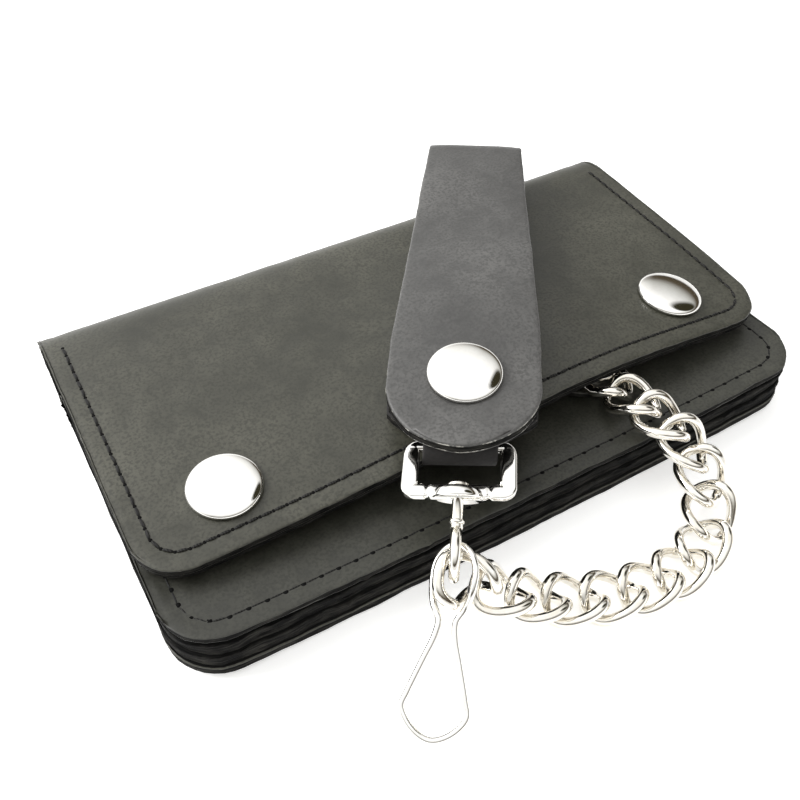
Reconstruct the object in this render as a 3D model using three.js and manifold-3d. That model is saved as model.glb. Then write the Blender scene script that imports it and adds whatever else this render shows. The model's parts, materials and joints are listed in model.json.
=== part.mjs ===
// Leather chain wallet with a snap-down cover, a curb chain, a swivel ring, a belt loop and a key wire.
// Millimetres, +Z up. The wallet lies on its back on z = 0, its length runs along X and its fold faces +Y.
import * as THREE from 'three';
import { mergeVertices } from 'three/addons/utils/BufferGeometryUtils.js';
import Module from 'manifold-3d';

const wasm = await Module();
wasm.setup();

// ---------- driving dimensions ----------
const GAP = 0.3; // between pieces that touch on the real wallet
const WALLET = { length: 165, front: -46, cornerRadius: 12, bow: 2.2, flatHalf: 20 };
const HIDE = 2.2; // back shell and spine leather
const LEAF = { thickness: 1.6, back: 36, insets: [0.5, 0.1, 0.7, 0.3] };
const PANEL = { thickness: 1.7, top: 12.8, inset: 0.2 };
const FOLD = { start: 38, depth: 12, height: 26, power: 0.8, hingeAngle: 49, hingeGap: 1.2 };
const COVER = { front: -31.5, cornerRadius: 11, shell: 1.9, lining: 1.0, drop: 7, sagPower: 1.3 };
const CHAIN_LIFT = { height: 5, x: 26, left: 55, right: 41, fadeStart: 30, fadeLength: 50 };
const SNAP = {
  x: 60.2, y: -17.1, capRadius: 8.1, dome: 2.5, barrel: 1.9,
  socketRadius: 6.3, cavity: 4.6, flange: 3.8, boss: 3.3,
};
const STRAP = {
  x: -6.5, y: -24.2, heading: 55.1, // cap centre and the direction towards the belt bend, in degrees
  thickness: 2.2, flap: 2.4, clearance: 1.1, halfWidth: 16.5, bendHalfWidth: 13, bendAt: 86.2, bendRadius: 6,
  tabHalfWidth: 7.8, tabEnd: 12, barAt: -15, snapGap: 3.4, endCentre: -4, endLength: 16.3,
};
const RING = { bar: 1.25, barWidth: 3.4, barThickness: 1.6, length: 11, hub: 5.2 };
const SWIVEL = {
  slope: 28, length: 18, post: 1.15, head: 2.2, loopLength: 11.4, loopHalfWidth: 3.7, wire: 1.1,
};
const LINK = {
  wire: 1.14, halfLength: 6.3, halfWidth: 5, twist: -45, squareness: 2.6,
  count: 14, bunched: [3, 5], bunching: 0.92,
};
const ANCHOR = {
  x: 31, y: -26, postRadius: 1.8, headRadius: 4.3,
  tabHalfWidth: 10, tabTop: 15.6, tabThickness: 1.4, linkGap: 0.8,
};
const KEY = {
  wire: 0.7, inner: 6.6, loopHalf: 4.8, neckAt: 8.2, neckHalf: 1.7, length: 30, halfWidth: 6.2, tilt: 30,
};

const rad = THREE.MathUtils.degToRad;
const V = (x, y, z) => new THREE.Vector3(x, y, z);
const UP = V(0, 0, 1);

// ---------- finishes ----------
const leather = (color, roughness) => new THREE.MeshStandardMaterial({ color, roughness, metalness: 0 });
const metal = (color, roughness) => new THREE.MeshStandardMaterial({ color, roughness, metalness: 1 });
const FINISH = {
  hide: () => leather(0x35352f, 0.5),
  panel: () => leather(0x2b2b28, 0.55),
  leaf: () => leather(0x1c1b19, 0.7),
  strap: () => leather(0x34333a, 0.5),
  chrome: () => metal(0xe6e4de, 0.12),
  nickel: () => metal(0xd6d2c6, 0.22),
};

// ---------- solids ----------
const group = new THREE.Group();

function addMesh(name, geometry, material) {
  const mesh = new THREE.Mesh(geometry, material);
  mesh.name = name;
  group.add(mesh);
  return mesh;
}

function indexed(points, triangles) {
  const geometry = new THREE.BufferGeometry();
  geometry.setAttribute('position', new THREE.Float32BufferAttribute(points.flatMap((p) => p.toArray()), 3));
  let volume = 0;
  for (const [a, b, c] of triangles) volume += points[a].dot(V(0, 0, 0).crossVectors(points[b], points[c]));
  const facing = volume < 0 ? triangles.map(([a, b, c]) => [a, c, b]) : triangles;
  geometry.setIndex(facing.flat());
  return geometry;
}

// A sheet between two grids of points, closed along its four edges.
function sheet(upper, lower) {
  const rows = upper.length;
  const columns = upper[0].length;
  const points = [...upper.flat(), ...lower.flat()];
  const under = rows * columns;
  const at = (i, j) => i * columns + j;
  const triangles = [];
  const quad = (a, b, c, d) => triangles.push([a, b, c], [a, c, d]);
  for (let i = 0; i + 1 < rows; i += 1) {
    for (let j = 0; j + 1 < columns; j += 1) {
      quad(at(i, j), at(i + 1, j), at(i + 1, j + 1), at(i, j + 1));
      quad(under + at(i, j), under + at(i, j + 1), under + at(i + 1, j + 1), under + at(i + 1, j));
    }
  }
  const rim = [];
  for (let i = 0; i < rows; i += 1) rim.push(at(i, 0));
  for (let j = 1; j < columns; j += 1) rim.push(at(rows - 1, j));
  for (let i = rows - 2; i >= 0; i -= 1) rim.push(at(i, columns - 1));
  for (let j = columns - 2; j > 0; j -= 1) rim.push(at(0, j));
  rim.forEach((a, k) => {
    const b = rim[(k + 1) % rim.length];
    quad(b, a, under + a, under + b);
  });
  return indexed(points, triangles);
}

// Rings of equal length joined into a closed loop, or capped at both ends.
function loft(rings, closed) {
  const sides = rings[0].length;
  const points = rings.flat();
  const triangles = [];
  const spans = closed ? rings.length : rings.length - 1;
  for (let i = 0; i < spans; i += 1) {
    const here = i * sides;
    const next = ((i + 1) % rings.length) * sides;
    for (let j = 0; j < sides; j += 1) {
      const k = (j + 1) % sides;
      triangles.push([here + j, next + j, next + k], [here + j, next + k, here + k]);
    }
  }
  if (!closed) {
    const last = (rings.length - 1) * sides;
    for (let j = 1; j + 1 < sides; j += 1) {
      triangles.push([0, j, j + 1], [last, last + j + 1, last + j]);
    }
  }
  return indexed(points, triangles);
}

function wireLoop(points, radius, steps, sides) {
  const curve = new THREE.CatmullRomCurve3(points, true);
  const frames = curve.computeFrenetFrames(steps, true);
  const rings = [];
  for (let i = 0; i < steps; i += 1) {
    const centre = curve.getPointAt(i / steps);
    const ring = [];
    for (let j = 0; j < sides; j += 1) {
      const a = (2 * Math.PI * (j + 0.5)) / sides;
      const offset = frames.normals[i].clone().multiplyScalar(Math.cos(a) * radius);
      ring.push(centre.clone().add(offset).addScaledVector(frames.binormals[i], Math.sin(a) * radius));
    }
    rings.push(ring);
  }
  return loft(rings, true);
}

// A turned part about +Z from [radius, height] points, given in either direction.
function lathe(profile, sides) {
  const outline = profile.map(([r, h]) => new THREE.Vector2(r, h));
  const area = outline.reduce((sum, p, i) => sum + p.cross(outline[(i + 1) % outline.length]), 0);
  const geometry = new THREE.LatheGeometry(area > 0 ? outline : outline.reverse(), sides);
  geometry.rotateX(Math.PI / 2);
  return geometry;
}

function place(geometry, origin, axis) {
  geometry.applyQuaternion(new THREE.Quaternion().setFromUnitVectors(UP, axis.clone().normalize()));
  geometry.translate(origin.x, origin.y, origin.z);
  return geometry;
}

function rod(radius, from, to, sides = 16) {
  const axis = to.clone().sub(from);
  const geometry = new THREE.CylinderGeometry(radius, radius, axis.length(), sides);
  geometry.rotateX(Math.PI / 2);
  return place(geometry, from.clone().add(to).multiplyScalar(0.5), axis);
}

function toManifold(geometry) {
  const bare = geometry.clone();
  bare.deleteAttribute('normal');
  bare.deleteAttribute('uv');
  const merged = mergeVertices(bare, 1e-4);
  return new wasm.Manifold(new wasm.Mesh({
    numProp: 3,
    vertProperties: Float32Array.from(merged.attributes.position.array),
    triVerts: Uint32Array.from(merged.index.array),
  }));
}

function fromManifold(manifold) {
  const mesh = manifold.getMesh();
  const geometry = new THREE.BufferGeometry();
  geometry.setAttribute('position', new THREE.BufferAttribute(mesh.vertProperties, 3));
  geometry.setIndex(new THREE.BufferAttribute(mesh.triVerts, 1));
  return geometry;
}

const join = (...parts) => fromManifold(parts.map(toManifold).reduce((a, b) => a.add(b)));
const cut = (part, ...tools) => {
  const solids = [part, ...tools].map(toManifold);
  return fromManifold(solids.reduce((a, b) => a.subtract(b)));
};

// ---------- the wallet's surfaces ----------
const halfLength = WALLET.length / 2;
const clamp = THREE.MathUtils.clamp;
const smooth = (t) => THREE.MathUtils.smoothstep(t, 0, 1);

function bow(x) {
  return WALLET.bow * (Math.max(0, Math.abs(x) - WALLET.flatHalf) / (halfLength - WALLET.flatHalf)) ** 2;
}

const bowNormal = (x) => V(bow(x - 0.5) - bow(x + 0.5), 0, 1).normalize();

// Height of the cover's outer face. It sags from the fold to the front edge and rides up over the chain.
function coverTop(x, yAny) {
  const y = clamp(yAny, COVER.front, FOLD.start);
  const sag = COVER.drop * ((FOLD.start - y) / (FOLD.start - COVER.front)) ** COVER.sagPower;
  const spread = x < CHAIN_LIFT.x ? CHAIN_LIFT.left : CHAIN_LIFT.right;
  const hump = Math.exp(-(((x - CHAIN_LIFT.x) / spread) ** 2));
  const fade = smooth((CHAIN_LIFT.fadeStart - y) / CHAIN_LIFT.fadeLength);
  return FOLD.height - sag + CHAIN_LIFT.height * hump * fade;
}

function coverNormal(x, y) {
  const step = 0.5;
  const dx = (coverTop(x + step, y) - coverTop(x - step, y)) / (2 * step);
  const dy = (coverTop(x, y + step) - coverTop(x, y - step)) / (2 * step);
  return V(-dx, -dy, 1).normalize();
}

// Stations along X, closer together round the corners.
function stations(radius, middle) {
  const list = [];
  const straight = halfLength - radius;
  const arcSteps = 4;
  for (let i = 0; i <= arcSteps; i += 1) {
    list.push(straight + radius * Math.sin((i * Math.PI) / 2 / arcSteps));
  }
  const inner = [];
  for (let i = 1; i < middle; i += 1) inner.push(-straight + (2 * straight * i) / middle);
  return [...list.map((x) => -x).reverse(), ...inner, ...list];
}

const cornerInset = (x, radius) => {
  const past = Math.max(0, Math.abs(x) - (halfLength - radius));
  return radius - Math.sqrt(Math.max(0, radius * radius - past * past));
};

// The round of the fold: a point on its outer face and the outward direction there.
// 90 is the cover's end of it.
function foldPoint(degrees) {
  const c = Math.cos(rad(degrees));
  const s = Math.sin(rad(degrees));
  const half = FOLD.height / 2;
  const bend = (v) => Math.sign(v) * Math.abs(v) ** FOLD.power;
  return [FOLD.start + FOLD.depth * bend(c), half + half * bend(s)];
}

function foldRow(x, degrees, thickness) {
  const [y, z] = foldPoint(degrees);
  const nearBy = 0.5;
  const [y0, z0] = foldPoint(Math.max(-90, degrees - nearBy));
  const [y1, z1] = foldPoint(Math.min(90, degrees + nearBy));
  const outward = V(0, z1 - z0, y0 - y1).normalize();
  if (Math.abs(degrees) === 90) outward.set(0, 0, Math.sign(degrees));
  const outer = V(x, y, z + bow(x) * (1 - z / FOLD.height));
  return [outer, outer.clone().addScaledVector(outward, -thickness)];
}

const range = (from, to, steps) =>
  Array.from({ length: steps + 1 }, (_, i) => from + ((to - from) * i) / steps);

// ---------- back half: shell, pocket leaves and top panel ----------
function backShell() {
  const upper = [];
  const lower = [];
  for (const x of stations(WALLET.cornerRadius, 10)) {
    const front = WALLET.front + cornerInset(x, WALLET.cornerRadius);
    const inner = [];
    const outer = [];
    for (const y of range(front, FOLD.start, 3)) {
      outer.push(V(x, y, bow(x)));
      inner.push(V(x, y, bow(x) + HIDE));
    }
    for (const degrees of range(-90, -FOLD.hingeAngle - FOLD.hingeGap, 4).slice(1)) {
      const [face, back] = foldRow(x, degrees, HIDE);
      outer.push(face);
      inner.push(back);
    }
    upper.push(inner);
    lower.push(outer);
  }
  return sheet(upper, lower);
}

function flatLeaf(bottom, thickness, inset) {
  const upper = [];
  const lower = [];
  const radius = WALLET.cornerRadius - inset;
  const shrink = (halfLength - inset) / halfLength;
  for (const station of stations(radius, 10)) {
    const x = station * shrink;
    const front = WALLET.front + inset + cornerInset(station, radius);
    const rows = range(front, LEAF.back, 2);
    lower.push(rows.map((y) => V(x, y, bottom + bow(x))));
    upper.push(rows.map((y) => V(x, y, bottom + thickness + bow(x))));
  }
  return sheet(upper, lower);
}

const leafNames = ['bill_pocket_leaf', 'bill_divider_leaf', 'checkbook_pocket_leaf', 'card_pocket_leaf'];
addMesh('back_shell', backShell(), FINISH.hide());
leafNames.forEach((name, i) => {
  const bottom = HIDE + GAP + i * (LEAF.thickness + GAP);
  addMesh(name, flatLeaf(bottom, LEAF.thickness, LEAF.insets[i]), FINISH.leaf());
});

// ---------- snap fasteners ----------
const SNAP_STEPS = 16;

// Cap with its barrel; height 0 is the leather's outer face and the barrel goes down through it.
function snapCap(throughLeather) {
  const r = SNAP.capRadius;
  const height = SNAP.dome - 0.6;
  const dome = range(0, 80, 4).map((a) => [r * Math.sin(rad(a)), GAP + 0.6 + height * Math.cos(rad(a))]);
  const bottom = -(throughLeather + GAP + 0.8);
  const under = [[r, GAP + 0.5], [r - 0.4, GAP], [SNAP.barrel, GAP], [SNAP.barrel, bottom], [0, bottom]];
  return lathe([...dome, ...under], SNAP_STEPS);
}

// Socket below the leather; height 0 is its seat and it hangs down.
function snapSocket(height) {
  const plate = 0.8;
  const hole = SNAP.barrel + 0.35;
  const r = SNAP.socketRadius;
  const profile = [[hole, 0], [r - 0.5, 0], [r, -0.5], [r, -height + 0.4], [r - 0.5, -height]];
  const inside = [[SNAP.cavity, -height], [SNAP.cavity, -plate], [hole, -plate], [hole, 0]];
  return lathe([...profile, ...inside], SNAP_STEPS);
}

// Stud above the leather; height 0 is its seat.
function snapStud(height, flange) {
  const bore = 1.85;
  const r = SNAP.boss;
  const neck = r - 0.5;
  const foot = [[bore, 0], [SNAP.flange, 0], [SNAP.flange, flange]];
  const profile = [...foot, [neck, flange], [neck, height * 0.55], [r, height * 0.75]];
  return lathe([...profile, [r - 0.5, height], [bore, height], [bore, 0]], SNAP_STEPS);
}

// Rivet that holds the stud: height 0 is the underside of its foot.
function studRivet(footThickness, length) {
  const foot = [[0, 0], [4.4, 0], [4.4, footThickness]];
  return lathe([...foot, [1.5, footThickness], [1.5, length], [0, length]], SNAP_STEPS);
}

const LEATHER_HOLE = SNAP.barrel + 0.45;
const STUD_HOLE = 1.95;
const coverStack = COVER.shell + GAP + COVER.lining;
const WALLET_SOCKET = 2.5;
const WALLET_STUD = { flange: 0.6, foot: 0.7, reach: 1.2 };

const walletSnaps = [-1, 1].map((side) => {
  const x = side * SNAP.x;
  const seat = V(x, SNAP.y, coverTop(x, SNAP.y));
  const axis = coverNormal(x, SNAP.y);
  const mouth = seat.clone().addScaledVector(axis, -(coverStack + GAP + WALLET_SOCKET));
  const stud = V(mouth.x, mouth.y, PANEL.top + bow(mouth.x));
  const studAxis = bowNormal(mouth.x);
  const studHeight = mouth.z - stud.z - GAP + WALLET_STUD.reach;
  return { name: side < 0 ? 'left' : 'right', seat, axis, stud, studAxis, studHeight };
});

const panelBottom = PANEL.top - PANEL.thickness;
const studHoles = walletSnaps.map(({ stud, studAxis }) => rod(
  STUD_HOLE,
  stud.clone().addScaledVector(studAxis, -5),
  stud.clone().addScaledVector(studAxis, 5),
));
addMesh('top_panel', cut(flatLeaf(panelBottom, PANEL.thickness, PANEL.inset), ...studHoles), FINISH.panel());

for (const { name, stud, studAxis, studHeight } of walletSnaps) {
  const below = PANEL.thickness + GAP + WALLET_STUD.foot;
  const rivet = studRivet(WALLET_STUD.foot, below + GAP + studHeight - 0.8);
  const seat = stud.clone().addScaledVector(studAxis, GAP);
  const foot = stud.clone().addScaledVector(studAxis, -below);
  const post = place(snapStud(studHeight, WALLET_STUD.flange), seat, studAxis);
  addMesh(`snap_stud_${name}`, post, FINISH.nickel());
  addMesh(`snap_stud_rivet_${name}`, place(rivet, foot, studAxis), FINISH.nickel());
}

// ---------- spine and cover ----------
function spine() {
  const limit = FOLD.hingeAngle - FOLD.hingeGap;
  const outer = [];
  const inner = [];
  for (const x of range(-halfLength, halfLength, 10)) {
    const rows = range(-limit, limit, 8).map((degrees) => foldRow(x, degrees, HIDE));
    outer.push(rows.map(([face]) => face));
    inner.push(rows.map(([, back]) => back));
  }
  return sheet(outer, inner);
}

function coverShell() {
  const outer = [];
  const inner = [];
  for (const x of stations(COVER.cornerRadius, 12)) {
    const front = COVER.front + cornerInset(x, COVER.cornerRadius);
    const faces = range(front, FOLD.start, 6).map((y) => V(x, y, coverTop(x, y)));
    const backs = faces.map((p) => V(p.x, p.y, p.z - COVER.shell));
    for (const degrees of range(90, FOLD.hingeAngle + FOLD.hingeGap, 3).slice(1)) {
      const [face, back] = foldRow(x, degrees, COVER.shell);
      faces.push(face);
      backs.push(back);
    }
    outer.push(faces);
    inner.push(backs);
  }
  return sheet(outer, inner);
}

function coverLining() {
  const inset = 0.4;
  const back = 30;
  const depth = COVER.shell + GAP;
  const upper = [];
  const lower = [];
  for (const station of stations(COVER.cornerRadius, 12)) {
    const x = (station * (halfLength - inset)) / halfLength;
    const front = COVER.front + inset + cornerInset(station, COVER.cornerRadius);
    const rows = range(front, back, 5);
    upper.push(rows.map((y) => V(x, y, coverTop(x, y) - depth)));
    lower.push(rows.map((y) => V(x, y, coverTop(x, y) - depth - COVER.lining)));
  }
  return sheet(upper, lower);
}

const barrelHoles = () => walletSnaps.map(({ seat, axis }) => rod(
  LEATHER_HOLE,
  seat.clone().addScaledVector(axis, 5),
  seat.clone().addScaledVector(axis, -8),
));

addMesh('spine_leather', spine(), FINISH.hide());
addMesh('cover_shell', cut(coverShell(), ...barrelHoles()), FINISH.hide());
addMesh('cover_lining', cut(coverLining(), ...barrelHoles()), FINISH.leaf());
for (const { name, seat, axis } of walletSnaps) {
  const under = seat.clone().addScaledVector(axis, -(coverStack + GAP));
  addMesh(`snap_cap_${name}`, place(snapCap(coverStack), seat, axis), FINISH.chrome());
  addMesh(`snap_socket_${name}`, place(snapSocket(WALLET_SOCKET), under, axis), FINISH.nickel());
}

// ---------- chain anchor inside the cover: a sewn tab and a rivet ----------
function anchorTab() {
  const sewnAt = -4;
  const tip = ANCHOR.y - 4.2;
  const liningUnder = coverTop(ANCHOR.x, sewnAt) - coverStack - GAP;
  const upper = [];
  const lower = [];
  for (const y of range(tip, sewnAt, 10)) {
    const past = Math.max(0, tip + ANCHOR.tabHalfWidth - y) / ANCHOR.tabHalfWidth;
    const half = ANCHOR.tabHalfWidth * Math.sqrt(Math.max(0.08, 1 - past * past));
    const rise = smooth((y - ANCHOR.y - 6) / (sewnAt - ANCHOR.y - 6));
    const z = ANCHOR.tabTop + (liningUnder - ANCHOR.tabTop) * rise;
    const row = range(-half, half, 4);
    const lean = (dx) => (coverTop(ANCHOR.x + dx, y) - coverTop(ANCHOR.x, y)) * rise;
    upper.push(row.map((dx) => V(ANCHOR.x + dx, y, z + lean(dx))));
    lower.push(row.map((dx) => V(ANCHOR.x + dx, y, z + lean(dx) - ANCHOR.tabThickness)));
  }
  return sheet(upper, lower);
}

const anchorHole = rod(ANCHOR.postRadius + 0.4, V(ANCHOR.x, ANCHOR.y, 10), V(ANCHOR.x, ANCHOR.y, 20));
const rivetFoot = ANCHOR.tabTop - ANCHOR.tabThickness - GAP - 0.7;
const rivetHead = ANCHOR.tabTop + ANCHOR.linkGap + 2 * LINK.wire + GAP;
const anchorRivet = lathe([
  [0, rivetFoot], [4, rivetFoot], [4, rivetFoot + 0.7], [ANCHOR.postRadius, rivetFoot + 0.7],
  [ANCHOR.postRadius, rivetHead], [ANCHOR.headRadius, rivetHead], [ANCHOR.headRadius - 0.4, rivetHead + 0.6],
  [2, rivetHead + 0.9], [0, rivetHead + 0.95],
], 20);
anchorRivet.translate(ANCHOR.x, ANCHOR.y, 0);
addMesh('chain_tab', cut(anchorTab(), anchorHole), FINISH.panel());
addMesh('chain_rivet', anchorRivet, FINISH.nickel());

// ---------- belt loop strap ----------
const along = V(Math.cos(rad(STRAP.heading)), Math.sin(rad(STRAP.heading)), 0);
const across = V(along.y, -along.x, 0);
const strapXY = (s, p) => V(STRAP.x, STRAP.y, 0).addScaledVector(along, s).addScaledVector(across, p);

function floorUnder(s, p = 0) {
  const at = strapXY(s, p);
  return coverTop(at.x, at.y);
}

// A strap point, tipped sideways with the cover below it.
function strapPoint(s, p, z) {
  const at = strapXY(s, p);
  at.z = z + floorUnder(s, p) - floorUnder(s);
  return at;
}

const barHeight = floorUnder(STRAP.barAt) + STRAP.clearance + STRAP.thickness + GAP + RING.bar;
const barTilt = (floorUnder(STRAP.barAt, 8) - floorUnder(STRAP.barAt, -8)) / 16;
const tabTop = STRAP.clearance + 2 * STRAP.thickness + GAP; // above the cover, as is the flap's underside
const flapBottom = tabTop + STRAP.snapGap;
const bendCentreZ = FOLD.height + STRAP.clearance + STRAP.bendRadius;
const noseRadius = RING.bar + GAP + STRAP.thickness / 2;

function strapHalf(s) {
  const { halfWidth, bendHalfWidth, bendAt, endCentre, endLength } = STRAP;
  if (s < endCentre) return halfWidth * Math.sqrt(Math.max(0.01, 1 - ((endCentre - s) / endLength) ** 2));
  return halfWidth - (halfWidth - bendHalfWidth) * clamp((s - 8) / (bendAt - 8), 0, 1) ** 0.9;
}

// The lower leaf, its bend at the belt end, its nose round the ring's bar and the tab
// that returns to the stud.
function strapProfile() {
  const half = STRAP.thickness / 2;
  const rows = [];
  const bendMid = STRAP.bendRadius - half;
  for (const a of range(86, -90, 10)) {
    const c = Math.cos(rad(a));
    const s = Math.sin(rad(a));
    const at = { s: STRAP.bendAt + bendMid * c, z: bendCentreZ + bendMid * s };
    rows.push({ ...at, ns: c, nz: s, width: STRAP.bendHalfWidth });
  }
  for (const s of range(STRAP.bendAt - 6, -12, 14)) {
    const neck = smooth((s + 13.5) / 8.5);
    const width = STRAP.tabHalfWidth + (strapHalf(s) - STRAP.tabHalfWidth) * neck;
    rows.push({ s, z: floorUnder(s) + STRAP.clearance + half, ns: 0, nz: -1, width });
  }
  for (const a of range(-90, -270, 8)) {
    const c = Math.cos(rad(a));
    const s = Math.sin(rad(a));
    const at = { s: STRAP.barAt + noseRadius * c, z: barHeight + noseRadius * s };
    rows.push({ ...at, ns: c, nz: s, width: STRAP.tabHalfWidth });
  }
  const noseTop = barHeight + noseRadius;
  for (const s of range(STRAP.barAt + 3, STRAP.tabEnd, 7)) {
    const level = floorUnder(s) + STRAP.clearance + 1.5 * STRAP.thickness + GAP;
    const settle = smooth((s - STRAP.barAt) / 9);
    rows.push({ s, z: noseTop + (level - noseTop) * settle, ns: 0, nz: 1, width: STRAP.tabHalfWidth });
  }
  return rows;
}

function strapSheet(rows, thickness) {
  const outer = [];
  const inner = [];
  for (const { s, z, ns, nz, width } of rows) {
    const line = range(-width, width, 3);
    const offset = thickness / 2;
    outer.push(line.map((p) => strapPoint(s + ns * offset, p, z + nz * offset)));
    inner.push(line.map((p) => strapPoint(s - ns * offset, p, z - nz * offset)));
  }
  return sheet(outer, inner);
}

// The flap keeps over the cover as it runs from its rounded end up to the bend.
function flapRows() {
  const level = flapBottom + STRAP.flap / 2;
  const top = bendCentreZ + STRAP.bendRadius - STRAP.flap / 2 - FOLD.height;
  const end = STRAP.bendAt - 0.2;
  const round = range(84, 0, 5).map((a) => STRAP.endCentre - STRAP.endLength * Math.sin(rad(a)));
  return [...round, ...range(4, end, 9)].map((s) => {
    const t = clamp(s / end, 0, 1);
    return { s, z: floorUnder(s) + level + (top - level) * t, ns: 0, nz: 1, width: strapHalf(s) };
  });
}

const STRAP_STUD = { height: 1.45, flange: 0.5, foot: 0.5 };
const STRAP_SOCKET = 2.2;
const snapAxis = coverNormal(STRAP.x, STRAP.y);
const aboveCover = (height) => strapXY(0, 0).setZ(floorUnder(0)).addScaledVector(snapAxis, height);
const strapHole = rod(STUD_HOLE, aboveCover(-2), aboveCover(tabTop + 1.5));
const flapHole = rod(LEATHER_HOLE, aboveCover(flapBottom - 2), aboveCover(flapBottom + 6));
addMesh('strap_lower', cut(strapSheet(strapProfile(), STRAP.thickness), strapHole), FINISH.strap());
addMesh('strap_flap', cut(strapSheet(flapRows(), STRAP.flap), flapHole), FINISH.strap());

function addStrapSnap(name, geometry, height, finish) {
  addMesh(name, place(geometry, aboveCover(height), snapAxis), finish);
}

const footAt = STRAP.clearance - GAP - STRAP_STUD.foot;
const strapRivet = studRivet(STRAP_STUD.foot, tabTop + GAP + STRAP_STUD.height - 0.6 - footAt);
addStrapSnap('snap_cap_strap', snapCap(STRAP.flap), flapBottom + STRAP.flap, FINISH.chrome());
addStrapSnap('snap_socket_strap', snapSocket(STRAP_SOCKET), flapBottom - GAP, FINISH.nickel());
const strapStud = snapStud(STRAP_STUD.height, STRAP_STUD.flange);
addStrapSnap('snap_stud_strap', strapStud, tabTop + GAP, FINISH.nickel());
addStrapSnap('snap_stud_rivet_strap', strapRivet, footAt, FINISH.nickel());

// ---------- square ring with its hub, a shallow cup open towards the eye ----------
const hubCentre = strapXY(STRAP.barAt - RING.length, 0).setZ(barHeight - 1.2);
const swivelAxis = along.clone().multiplyScalar(-Math.cos(rad(SWIVEL.slope)));
swivelAxis.setZ(-Math.sin(rad(SWIVEL.slope)));

function ringFrame() {
  const side = STRAP.tabHalfWidth + GAP + 0.1 + RING.barWidth / 2;
  const corner = 1.9;
  const far = STRAP.barAt - RING.length;
  const path = [];
  const arc = (s, p, from) => {
    for (const a of range(from, from + 90, 3)) {
      path.push([s + corner * Math.cos(rad(a)), p + corner * Math.sin(rad(a))]);
    }
  };
  const straight = (from, to, steps) => range(0, 1, steps).slice(1, -1).forEach((t) => {
    path.push([from[0] + (to[0] - from[0]) * t, from[1] + (to[1] - from[1]) * t]);
  });
  arc(STRAP.barAt - corner, side - corner, 0);
  straight([STRAP.barAt - corner, side], [far + corner, side], 4);
  arc(far + corner, side - corner, 90);
  straight([far, side - corner], [far, -side + corner], 4);
  arc(far + corner, -side + corner, 180);
  straight([far + corner, -side], [STRAP.barAt - corner, -side], 4);
  arc(STRAP.barAt - corner, -side + corner, 270);
  straight([STRAP.barAt, -side + corner], [STRAP.barAt, side - corner], 4);
  const sides = 8;
  const rings = path.map(([s, p], i) => {
    const [s0, p0] = path[(i + path.length - 1) % path.length];
    const [s1, p1] = path[(i + 1) % path.length];
    const turn = Math.hypot(s1 - s0, p1 - p0);
    const outS = (p1 - p0) / turn;
    const outP = -(s1 - s0) / turn;
    const flat = smooth((STRAP.barAt - 0.2 - s) / 1.6);
    const halfWide = RING.bar + (RING.barWidth / 2 - RING.bar) * flat;
    const halfThick = RING.bar + (RING.barThickness / 2 - RING.bar) * flat;
    const height = barHeight - 1.2 * clamp((STRAP.barAt - s) / RING.length, 0, 1) + barTilt * p;
    return range(0, 360, sides).slice(0, sides).map((a) => {
      const c = Math.cos(rad(a + 22.5));
      const t = Math.sin(rad(a + 22.5));
      const at = strapXY(s + outS * c * halfWide, p + outP * c * halfWide);
      return at.setZ(height + barTilt * outP * c * halfWide + t * halfThick);
    });
  });
  return loft(rings, true);
}

function hub() {
  const bore = SWIVEL.post + 0.35;
  const r = RING.hub;
  const back = [[bore, -0.9], [r - 1.6, -0.9], [r - 0.5, -0.2], [r, 1], [r - 0.2, 1.5]];
  const cup = [[r - 0.9, 1.1], [bore + 1, 0.3], [bore, 0.1], [bore, -0.9]];
  return place(lathe([...back, ...cup], 20), hubCentre, swivelAxis);
}

const hubPoint = (t) => hubCentre.clone().addScaledVector(swivelAxis, t);
const hubBore = rod(SWIVEL.post + 0.35, hubPoint(-6), hubPoint(8), 20);
const headRoom = rod(SWIVEL.head + 0.4, hubPoint(-5.5), hubPoint(-0.9), 20);
addMesh('square_ring', cut(join(ringFrame(), hub()), hubBore, headRoom), FINISH.chrome());

// ---------- swivel: headed post and eye ----------
const eyeSide = across.clone();
const eyeUp = V(0, 0, 0).crossVectors(eyeSide, swivelAxis).normalize();

function swivelEye() {
  const halfLoop = SWIVEL.loopLength / 2 - SWIVEL.wire;
  const centre = SWIVEL.length - SWIVEL.loopLength / 2;
  const outline = range(0, 360, 12).slice(0, 12).map((a) => hubPoint(centre + halfLoop * Math.cos(rad(a)))
    .addScaledVector(eyeUp, SWIVEL.loopHalfWidth * Math.sin(rad(a))));
  const loop = wireLoop(outline, SWIVEL.wire, 20, 8);
  const head = rod(SWIVEL.head, hubPoint(-2.1), hubPoint(-1.2), 16);
  const postEnd = SWIVEL.length - SWIVEL.loopLength + SWIVEL.wire;
  const post = rod(SWIVEL.post, hubPoint(-1.3), hubPoint(postEnd), 12);
  const collar = rod(SWIVEL.post + 0.35, hubPoint(5.6), hubPoint(6.4), 12);
  return join(loop, head, post, collar);
}

addMesh('swivel_eye', swivelEye(), FINISH.nickel());

// ---------- chain ----------
const eyeEnd = hubPoint(SWIVEL.length - SWIVEL.wire);
const chainStart = V(ANCHOR.x, ANCHOR.y, ANCHOR.tabTop + ANCHOR.linkGap + LINK.wire);
const chainRoute = new THREE.CatmullRomCurve3([
  chainStart, V(31.7, -33.5, 17.3), V(33.3, -42.3, 17.8), V(36.4, -50.2, 14.9),
  V(37.3, -55.4, 11.25), V(36.4, -60.3, 7.8), V(33.8, -65, 5), V(29.6, -68.9, 3.8),
  V(24.5, -71.4, 3.5), V(17, -72.7, 3.5), V(8, -72, 3.5), V(0, -69.8, 3.5),
  V(-10.6, -65.7, 5.6), V(-18.6, -62.6, 9.8), eyeEnd.clone().add(V(-1.2, 0.6, 0.6)),
], false, 'centripetal');

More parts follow.
